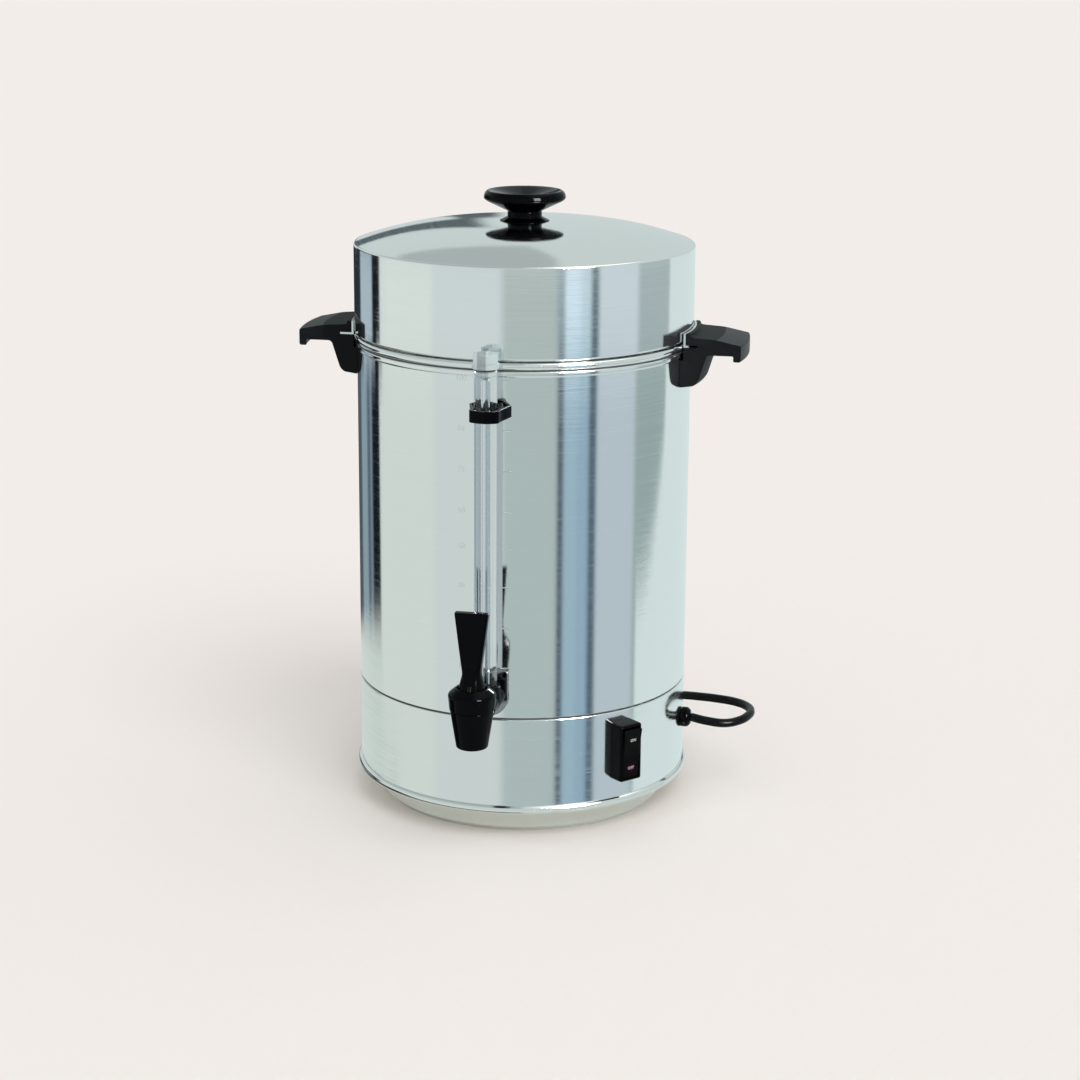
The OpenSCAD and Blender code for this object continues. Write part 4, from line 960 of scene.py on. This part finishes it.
class URN_OT_tank(UrnPiece, Operator):
    """Turn the tank with its rolled rim, second bead, floor and well, and the dark rings of painted shade in
    its seam and crease
    """

    bl_idname = "urn.tank"
    bl_label = "Tank"

    def execute(self, context):
        sizes, looks = self.settings(context)
        steps = sizes.lathe_steps
        well_out, well_low, floor_low = WELL_R + SHEET, WELL_TOP - SHEET, FLOOR_TOP - SHEET
        shape = lathe([
            (0, well_low), (well_out, well_low, 2), (well_out, floor_low), (WALL_BORE, floor_low),
            (WALL_BORE, TANK_LOW), (WALL_R, TANK_LOW, 0.2), (WALL_R, BEAD_LOW, 0.5),
            (BEAD_R, BEAD_LOW, 1.3), (BEAD_R, BEAD_TOP, 1.3), (WALL_R, BEAD_TOP, 0.2),
            (WALL_R, RIM_LOW, 0.2), (RIM_R, RIM_LOW, 2.3), (RIM_R, RIM_TOP, 2.6),
            (RIM_BORE, RIM_TOP, 2.6), (RIM_BORE, RIM_LOW, 1.6), (WALL_BORE, RIM_LOW, 0.4),
            (WALL_BORE, FLOOR_TOP, 4), (WELL_R, FLOOR_TOP, 2), (WELL_R, WELL_TOP, 2), (0, WELL_TOP),
        ], steps)
        piece("tank_shell", shape, looks["shell"], "urn", ["tank"])
        # Dark rings in the seal finish, standing as painted shade in the seam and in the crease under the rim
        piece("seam_painted_shade", ring(*SEAM_SHADE_RING, steps), looks["seal"], "urn")
        piece("rim_crease_painted_shade", ring(*CREASE_SHADE_RING, steps), looks["seal"], "urn")
        return {"FINISHED"}


class URN_OT_skirt(UrnPiece, Operator):
    """Turn the base skirt with its rolled bead"""

    bl_idname = "urn.skirt"
    bl_label = "Base skirt"

    def execute(self, context):
        sizes, looks = self.settings(context)
        shape = lathe([
            (FOOT_BEAD_BORE, FOOT_BEAD_LOW, 2.4), (FOOT_BEAD_R, FOOT_BEAD_LOW, 2.7),
            (FOOT_BEAD_R, FOOT_BEAD_TOP, 2.7), (WALL_R, FOOT_BEAD_TOP, 1.0), (WALL_R, 97.8, 1.1),
            (TONGUE_R, 97.4, 0.2), (TONGUE_R, TONGUE_TOP, 0.3), (TONGUE_BORE, TONGUE_TOP, 0.3),
            (TONGUE_BORE, 96.6), (WALL_BORE, 96.6), (WALL_BORE, FOOT_BEAD_TOP),
            (FOOT_BEAD_BORE, FOOT_BEAD_TOP, 2.4),
        ], sizes.lathe_steps)
        piece("skirt_shell", shape, looks["skirt"], "urn", ["base_skirt"])
        return {"FINISHED"}


class URN_OT_foot(UrnPiece, Operator):
    """Finish the foot pan and the pieces inside the base"""

    bl_idname = "urn.foot"
    bl_label = "Foot and base"

    def execute(self, context):
        looks = self.settings(context)[1]
        for look, nodes in BASE_LOOKS.items():
            dress(looks[look], *nodes)
        return {"FINISHED"}


class URN_OT_lid(UrnPiece, Operator):
    """Turn the deep lid with its dome, hem and inner lip, and finish the knob's screw and washer"""

    bl_idname = "urn.lid"
    bl_label = "Lid"

    def execute(self, context):
        sizes, looks = self.settings(context)
        rings = [DOME_EDGE * (i + 1) / DOME_RINGS for i in range(DOME_RINGS)]
        outside = [(r, dome(r)) for r in reversed(rings)]
        inside = [(r * DOME_INSIDE, dome(r) - SHEET) for r in rings]
        shape = lathe([
            (LIP_BORE, LIP_LOW, 0.3), (LIP_R, LIP_LOW, 0.5), (LIP_R, LID_LOW, 0.4), (LID_R, LID_LOW, 2.0),
            (LID_R, 445.9, 1.6), *outside, (0, dome(0)), (0, dome(0) - SHEET), *inside,
            (LID_BORE, 444.8, 1.0), (LID_BORE, LID_LOW + SHEET), (LIP_BORE, LID_LOW + SHEET),
        ], sizes.lathe_steps)
        piece("lid_shell", shape, looks["shell"], "lid", ["lid"])
        dress(looks["steel"], "knob_screw", "knob_washer")
        return {"FINISHED"}


class URN_OT_knob(UrnPiece, Operator):
    """Turn the knob and its flared guard"""

    bl_idname = "urn.knob"
    bl_label = "Knob"

    def execute(self, context):
        sizes, looks = self.settings(context)
        steps = sizes.small_steps * 2
        knob = lathe([
            (0, 464.3), (13.4, 464.3, 0.3), (13.4, 470.0, 0.8), (29.8, 477.8, 1.2), (32.2, 479.8, 1.4),
            (31.2, 483.9, 1.4), (29.0, 485.8, 0.8), (26.0, 485.4, 2.0), (15, 482.6, 4), (6.5, 480.4, 3),
            (0, 480.0),
        ], steps, 6)
        piece("knob_moulding", knob, looks["gloss"], "lid", ["lid_knob"])
        guard = lathe([
            (2.7, 462.3), (19.4, 462.2, 0.15), (19.2, 462.6, 0.2), (13.9, 465.2, 0.3), (13.5, 465.2),
            (13.5, 464.3), (2.7, 464.3),
        ], steps)
        piece("knob_guard_disc", guard, looks["gloss"], "lid", ["knob_guard"])
        return {"FINISHED"}


# Handles

GRIP_HALF = 31
GRIP_SWEEP = math.radians(15)
GRIP_STEPS = 24
SLOT_LOW, SLOT_TOP = 372.6, 374.5
SLOT_REACH = 146
SLOT_ENDS = {"right": 137.6, "left": 144.6}


class URN_OT_handles(UrnPiece, Operator):
    """Sweep the handles round the urn, trim them square and finish their brackets, screws and seals"""

    bl_idname = "urn.handles"
    bl_label = "Handles"

    def execute(self, context):
        sizes, looks = self.settings(context)
        for word, slot_end in SLOT_ENDS.items():
            shape = self.grip(sizes, slot_end)
            if word == "left":
                moved(shape, Matrix.Diagonal((-1, 1, 1, 1)))
                bmesh.ops.reverse_faces(shape, faces=shape.faces[:])
            name = f"{word}_handle_moulding"
            piece(name, shape, looks["handle"], "urn", [f"handle_{word}"], 38)
            dress(looks["steel"], f"bracket_{word}")
        dress(looks["steel"], "handle_screws")
        dress(looks["seal"], "handle_seals")
        return {"FINISHED"}

    def grip(self, sizes, slot_end):
        bm = bmesh.new()
        outline(bm, [
            (131.2, 341.4, 0.6), (141.6, 342.9, 1.2), (144.8, 345.8, 2.0), (151.2, 366.2, 1.2),
            (153.4, 367.3, 0.6), (171.3, 367.3, 0.7), (171.3, 362.8, 1.0), (177, 362.8, 1.4),
            (177, 375.4, 1.2), (158, 379.4, 3.0), (140.5, 380.6, 1.4), (138.9, 381.4, 0.8),
            (138.9, 383.6, 1.1), (135.5, 383.6, 0.4), (135.5, SLOT_TOP), (slot_end, SLOT_TOP),
            (slot_end, SLOT_LOW), (133.9, SLOT_LOW), (133.9, 362.7), (131.2, 362.7),
        ], 4)
        moved(bm, Matrix.Rotation(-GRIP_SWEEP, 4, "Z"))
        bmesh.ops.delete(bm, geom=bm.faces[:], context="FACES_ONLY")
        bmesh.ops.spin(bm, geom=bm.verts[:] + bm.edges[:], cent=(0, 0, 0), axis=(0, 0, 1),
                       angle=2 * GRIP_SWEEP, steps=GRIP_STEPS)
        half = GRIP_HALF * MM
        for side in (1, -1):
            whole = bm.verts[:] + bm.edges[:] + bm.faces[:]
            cut = bmesh.ops.bisect_plane(bm, geom=whole, plane_co=(0, side * half, 0),
                                         plane_no=(0, side, 0), clear_outer=True)
            edges = [g for g in cut["geom_cut"] if isinstance(g, bmesh.types.BMEdge)]
            bmesh.ops.edgeloop_fill(bm, edges=edges)
        bmesh.ops.remove_doubles(bm, verts=bm.verts[:], dist=NEAR)
        closed(bm)
        rims = [e for e in bm.edges if all(abs(abs(v.co.y) - half) < NEAR for v in e.verts)
                and len(e.link_faces) == 2 and not self.in_slot(e)]
        soften(bm, rims, sizes.edge_round / MM, clamp=True)
        return bm

    def in_slot(self, edge):
        """Whether an edge bounds the slot that the bracket lies in."""
        return all(SLOT_LOW - 0.1 < v.co.z / MM < SLOT_TOP + 0.1 and abs(v.co.x) < SLOT_REACH * MM
                   for v in edge.verts)


# Gauge

TUBE_R, TUBE_BORE, TUBE_LOW, TUBE_TOP, BORE_TOP = 8.7, 2.3, 124, 374, 366.4
CAP_R = 10.7
CAP_DEPTH = 7.0
CAP_MIDDLE = 380.9
VENT_R = 0.8
CLIP_LOW, CLIP_TOP = 333.8, 343.0
MARKS = [
    (361.6, 100), (323.4, 84), (292.2, 72), (260.7, 60), (232.8, 48), (202.4, 36), (170.2, 24), (138.4, 12),
]
TICK_NEAR, TICK_FAR, TICK_HALF = 9.1, 15.9, 0.35
NUMBERS_ASIDE = -22.6


class URN_OT_gauge(UrnPiece, Operator):
    """Make the clear sight tube, its cap, its clip and the marks beside it, and finish its seal"""

    bl_idname = "urn.gauge"
    bl_label = "Sight gauge"

    def execute(self, context):
        sizes, looks = self.settings(context)
        place = upright(GAUGE_AXIS)
        tube = lathe([
            (TUBE_BORE, TUBE_LOW), (TUBE_R, TUBE_LOW, 0.3), (TUBE_R, TUBE_TOP, 0.4), (0, TUBE_TOP),
            (0, BORE_TOP), (TUBE_BORE, BORE_TOP, 2.2),
        ], sizes.small_steps)
        piece("sight_tube", moved(tube, place), looks["clear"], "urn", ["gauge_tube"])
        cap = self.cap(sizes)
        piece("sight_cap", moved(cap, place), looks["frosted"], "urn", ["gauge_cap"])
        piece("sight_clip", self.clip(), looks["gloss"], "urn", ["gauge_clip"])
        piece("gauge_marks", self.marks(sizes), looks["mark"], "urn")
        dress(looks["seal"], "gauge_seal")
        return {"FINISHED"}

    def cap(self, sizes):
        """Build the cap from a flange, a six-sided head with a corner to the camera, and a vent nipple."""
        flange = lathe([
            (8.9, 373.4), (10.2, 373.4, 0.4), (10.2, 377.4, 0.6), (VENT_R, 377.4), (VENT_R, 374.2),
            (8.9, 374.2),
        ], sizes.small_steps)
        nipple = lathe([(VENT_R, 384.0), (2.0, 384.0), (2.0, 384.9, 0.3), (VENT_R, 384.9)], sizes.small_steps)
        head = bmesh.new()
        bmesh.ops.create_cone(head, cap_ends=True, segments=6, radius1=CAP_R * MM, radius2=CAP_R * MM,
                              depth=CAP_DEPTH * MM)
        moved(head, Matrix.Translation((0, 0, CAP_MIDDLE * MM)))
        soften(head, [e for e in head.edges if span(e, 2) > CAP_DEPTH / 2 * MM], 1.0)
        soften(head, [e for e in head.edges if all(v.co.z > CAP_MIDDLE * MM for v in e.verts)], 1.2)
        corner = max(head.verts, key=lambda v: v.co.x * math.sin(TAP_TURN) - v.co.y * math.cos(TAP_TURN)).co
        turn = Matrix.Rotation(AHEAD - math.atan2(corner.y, corner.x), 4, "Z")
        return merged(flange, moved(head, turn), nipple)

    def clip(self):
        outer = [(16.0, -130.0), (11.3, -149.0, 3), (11.3, -154.6, 2.5), (4.0, -158.4, 5)]
        inner = [(13.8, -130.4), (8.9, -146.0, 1), (8.9, -155.8, 8.4)]
        return plate(flipped(outer) + outer[::-1] + inner + flipped(inner)[::-1], CLIP_LOW, CLIP_TOP, 0.5)

    def marks(self, sizes):
        shapes = []
        for height, count in MARKS:
            tick = block((TICK_NEAR, -TICK_HALF, 0), (TICK_FAR, TICK_HALF, sizes.mark_relief / MM), 0.1, 1)
            long_edges = [e for e in tick.edges if span(e, 0) > (TICK_FAR - TICK_NEAR) / 2 * MM]
            bmesh.ops.subdivide_edges(tick, edges=long_edges, cuts=4)
            number = letters(str(count), sizes.mark_height, sizes.mark_relief * 2)
            shapes.append(self.wrapped(tick, 0, height))
            shapes.append(self.wrapped(number, NUMBERS_ASIDE, height))
        return merged(*shapes)

    def wrapped(self, shape, across, height):
        """Bend a flat shape round the tank's wall."""
        wall = WALL_R * MM
        for vert in shape.verts:
            angle = across * MM / wall + vert.co.x / wall
            out = wall + vert.co.z
            vert.co = (out * math.sin(angle), -out * math.cos(angle), height * MM + vert.co.y)
        return shape


# Faucet

FAUCET_AXIS = -195
SHANK_LEVEL = 117
SHANK_BORE = 4.5
SHANK_IN, SHANK_WALL, SHANK_END = 118, 133, 163.5

# Sections of the lever by height, half width, half depth and squareness
LEVER_SECTIONS = [
    (141.6, 10.5, 10.5, 2), (145, 9.7, 9.6, 2), (150, 8.3, 8.0, 2.3), (154, 7.2, 6.2, 3),
    (157, 7.2, 5.3, 4.5), (162, 7.7, 4.9, 7), (175, 9.4, 4.3, 10), (201, 12.8, 3.0, 14),
]
LEVER_SLOT_LOW, LEVER_SLOT_HIGH = (-1.5, -10.0, 143.0), (1.5, -8.6, 147.2)
LEVER_SLOT_MIDDLE = (0, -9.6, 145)
LEVER_SLOT_LEAN = math.radians(-15)


class URN_OT_faucet(UrnPiece, Operator):
    """Turn the shank, the faucet's body and its bonnet, and finish the nut, the gaskets and the valve"""

    bl_idname = "urn.faucet"
    bl_label = "Faucet"

    def execute(self, context):
        sizes, looks = self.settings(context)
        steps = sizes.small_steps
        across, column = lying(SHANK_LEVEL), upright(FAUCET_AXIS)
        tail = lathe([
            (SHANK_BORE, SHANK_IN), (9, SHANK_IN, 0.4), (9, SHANK_WALL), (11, SHANK_WALL), (11, SHANK_END),
            (SHANK_BORE, SHANK_END),
        ], steps)
        boss = lathe([
            (3.5, 117), (11.5, 117), (11.5, 130.3, 0.7), (8.9, 130.3, 0.3), (8.9, 122), (3.5, 122),
        ], steps)
        shank = merged(moved(tail, across), moved(boss, upright(GAUGE_AXIS)))
        piece("shank_moulding", shank, looks["gloss"], "urn", ["gauge_shank"])
        saddle = plate([(-14.6, 20.8, 1), (14.6, 20.8, 1), (15, -15, 14.8), (-15, -15, 14.8)],
                       SHANK_WALL, SHANK_WALL + 3, 0.4)
        piece("shank_saddle", moved(saddle, across), looks["saddle"], "urn")
        body = lathe([
            (6, 97.5, 0.5), (11.75, 97.5, 1.4), (16.5, 127.0, 0.5), (13.2, 127.0), (13.2, 136.5, 0.3),
            (10, 136.5, 0.3), (10, 106), (6, 106),
        ], steps)
        inlet = lathe([(SHANK_BORE, SHANK_END), (9.5, SHANK_END, 0.5), (9.5, 182), (SHANK_BORE, 182)], steps)
        faucet = merged(moved(body, column), moved(inlet, across))
        piece("faucet_moulding", faucet, looks["gloss"], "urn", ["faucet_body"])
        bonnet = lathe([
            (13.4, 127.2), (16.9, 127.2, 0.4), (17.9, 138.2, 1.0), (17.0, 139.9, 1.0), (12.4, 143.7, 0.5),
            (11.4, 143.7, 0.3), (11.4, 140.9), (2.6, 140.9, 0.3), (2.6, 136.9), (13.4, 136.9),
        ], steps)
        bonnet = moved(bonnet, column)
        piece("bonnet_moulding", bonnet, looks["gloss"], "urn", ["faucet_bonnet"])
        dress(looks["gloss"], "shank_nut")
        dress(looks["seal"], "shank_gaskets", "seat_cup")
        dress(looks["steel"], "valve_stem", "valve_spring", "lever_pin")
        return {"FINISHED"}


class URN_OT_lever(UrnPiece, Operator):
    """Make the faucet's lever, a round foot that runs up into a flared paddle, and the slot in it"""

    bl_idname = "urn.lever"
    bl_label = "Lever"

    def execute(self, context):
        sizes, looks = self.settings(context)
        place = upright(FAUCET_AXIS)
        paddle = moved(self.paddle(sizes), place)
        piece("lever_moulding", paddle, looks["gloss"], "lever", ["faucet_lever"])
        slot = block(LEVER_SLOT_LOW, LEVER_SLOT_HIGH, 0.4)
        lean = Matrix.Rotation(LEVER_SLOT_LEAN, 3, "X")
        bmesh.ops.rotate(slot, cent=[c * MM for c in LEVER_SLOT_MIDDLE], matrix=lean, verts=slot.verts[:])
        piece("lever_slot", moved(slot, place), looks["dull_brass"], "lever")
        return {"FINISHED"}

    def paddle(self, sizes):
        """Bridge the lever's sections from the foot to the top."""
        bm = bmesh.new()
        rings = []
        for height, wide, deep, square in LEVER_SECTIONS:
            made = bmesh.ops.create_circle(bm, segments=sizes.small_steps, radius=1)["verts"]
            for vert in made:
                c, s = vert.co.x, vert.co.y
                scale = (abs(c) ** square + abs(s) ** square) ** (-1 / square)
                vert.co = (wide * scale * c * MM, deep * scale * s * MM, height * MM)
            rings.append({e for v in made for e in v.link_edges})
        for low, high in zip(rings, rings[1:]):
            bmesh.ops.bridge_loops(bm, edges=list(low | high))
        for end in (rings[0], rings[-1]):
            bmesh.ops.edgeloop_fill(bm, edges=list(end))
        closed(bm)
        soften(bm, [e for e in rings[-1] if e.is_valid], 0.7)
        return bm


# Switch

FRAME_HALF_W, FRAME_HALF_H = 10.3, 22.8
FRAME_BACK, FRAME_FRONT = 128.4, 143.6
POCKET_DEPTH = 10
ROCKER_HALF_W, ROCKER_HALF_H = 7.9, 20.2
ROCKER_MIDDLE = 4.4
ROCKER_REST = math.radians(6)
ROCKER_LEAN = math.radians(4.53)
ROCKER_SLOPE = 0.0792
LETTER_HEIGHT, LETTER_DEPTH, LETTER_LIFT = 2.4, 0.2, 0.02


class URN_OT_switch(UrnPiece, Operator):
    """Make the switch housing, its rocker and the lettering on it, and finish the pin and terminals"""

    bl_idname = "urn.switch"
    bl_label = "Switch"

    def execute(self, context):
        looks = self.settings(context)[1]
        housing = moved(self.frame(), switch_place(0, SWITCH_RISE))
        piece("switch_frame", housing, looks["gloss"], "urn", ["switch_housing"])
        tilt = switch_place(SWITCH_AXIS, SWITCH_RISE) @ Matrix.Rotation(ROCKER_REST, 4, "X")
        rocker = moved(self.rocker(), tilt)
        piece("rocker_moulding", rocker, looks["rocker"], "rocker", ["switch_rocker"])
        for words, rise, look in (("ON", ON_RISE, "white"), ("OFF", OFF_RISE, "lit")):
            lean = Matrix.Rotation(math.copysign(ROCKER_LEAN, rise), 4, "X")
            out = ROCKER_MIDDLE + ROCKER_SLOPE * abs(rise) + LETTER_LIFT
            place = tilt @ Matrix.Translation((0, rise * MM, out * MM)) @ lean
            shape = moved(letters(words, LETTER_HEIGHT * MM, LETTER_DEPTH * MM), place)
            piece(f"{words.lower()}_lettering", shape, looks[look], "rocker")
        dress(looks["steel"], "rocker_pin")
        dress(looks["brass"], "switch_terminals")
        return {"FINISHED"}

    def frame(self):
        """Round a block and sink a pocket into its front."""
        bm = block((-FRAME_HALF_W, -FRAME_HALF_H, FRAME_BACK), (FRAME_HALF_W, FRAME_HALF_H, FRAME_FRONT),
                   2.0, 4)
        front = [f for f in bm.faces if f.normal.z > FACING]
        bmesh.ops.inset_region(bm, faces=front, thickness=0.2 * MM, use_even_offset=True)
        floor = bmesh.ops.extrude_discrete_faces(bm, faces=front)["faces"]
        bmesh.ops.translate(bm, vec=(0, 0, -POCKET_DEPTH * MM), verts=floor[0].verts[:])
        return bm

    def rocker(self):
        """Raise the rocker's side outline across its width."""
        bm = plate([
            (-ROCKER_HALF_H, 2.6), (-8, -2.6), (8, -2.6), (ROCKER_HALF_H, 2.6), (ROCKER_HALF_H, 6.0, 1.0),
            (0, ROCKER_MIDDLE, 6), (-ROCKER_HALF_H, 6.0, 1.0),
        ], -ROCKER_HALF_W, ROCKER_HALF_W, 0.7)
        return moved(bm, Matrix(((0, 0, 1, 0), (1, 0, 0, 0), (0, 1, 0, 0), (0, 0, 0, 1))))


# Pump and basket

class URN_OT_basket(UrnPiece, Operator):
    """Finish the pump and the coffee basket"""

    bl_idname = "urn.basket"
    bl_label = "Pump and basket"

    def execute(self, context):
        looks = self.settings(context)[1]
        dress(looks["basket"], "pump_tube", "pump_base", "basket", "basket_cover")
        return {"FINISHED"}


STEPS = (
    URN_OT_stage, URN_OT_cord, URN_OT_tank, URN_OT_skirt, URN_OT_foot, URN_OT_lid, URN_OT_knob,
    URN_OT_handles, URN_OT_gauge, URN_OT_faucet, URN_OT_lever, URN_OT_switch, URN_OT_basket,
)


class URN_PT_panel(Panel):
    """Lists the urn's sizes, colours and pieces"""

    bl_idname = "URN_PT_panel"
    bl_label = "Drinks Urn"
    bl_space_type = "VIEW_3D"
    bl_region_type = "UI"
    bl_category = "Urn"

    def draw(self, context):
        layout = self.layout
        for settings in (context.scene.urn_sizes, context.scene.urn_colours):
            for name in settings.__annotations__:
                layout.prop(settings, name)
        for step in STEPS:
            layout.operator(step.bl_idname)


CLASSES = (UrnSizes, UrnColours, *STEPS, URN_PT_panel)


def register():
    for cls in CLASSES:
        bpy.utils.register_class(cls)
    bpy.types.Scene.urn_sizes = PointerProperty(type=UrnSizes)
    bpy.types.Scene.urn_colours = PointerProperty(type=UrnColours)


def unregister():
    del bpy.types.Scene.urn_colours
    del bpy.types.Scene.urn_sizes
    for cls in reversed(CLASSES):
        bpy.utils.unregister_class(cls)


def main():
    register()
    bpy.ops.urn.stage()
    bpy.ops.urn.cord()
    bpy.ops.urn.tank()
    bpy.ops.urn.skirt()
    bpy.ops.urn.foot()
    bpy.ops.urn.lid()
    bpy.ops.urn.knob()
    bpy.ops.urn.handles()
    bpy.ops.urn.gauge()
    bpy.ops.urn.faucet()
    bpy.ops.urn.lever()
    bpy.ops.urn.switch()
    bpy.ops.urn.basket()


if __name__ == "__main__":
    main()
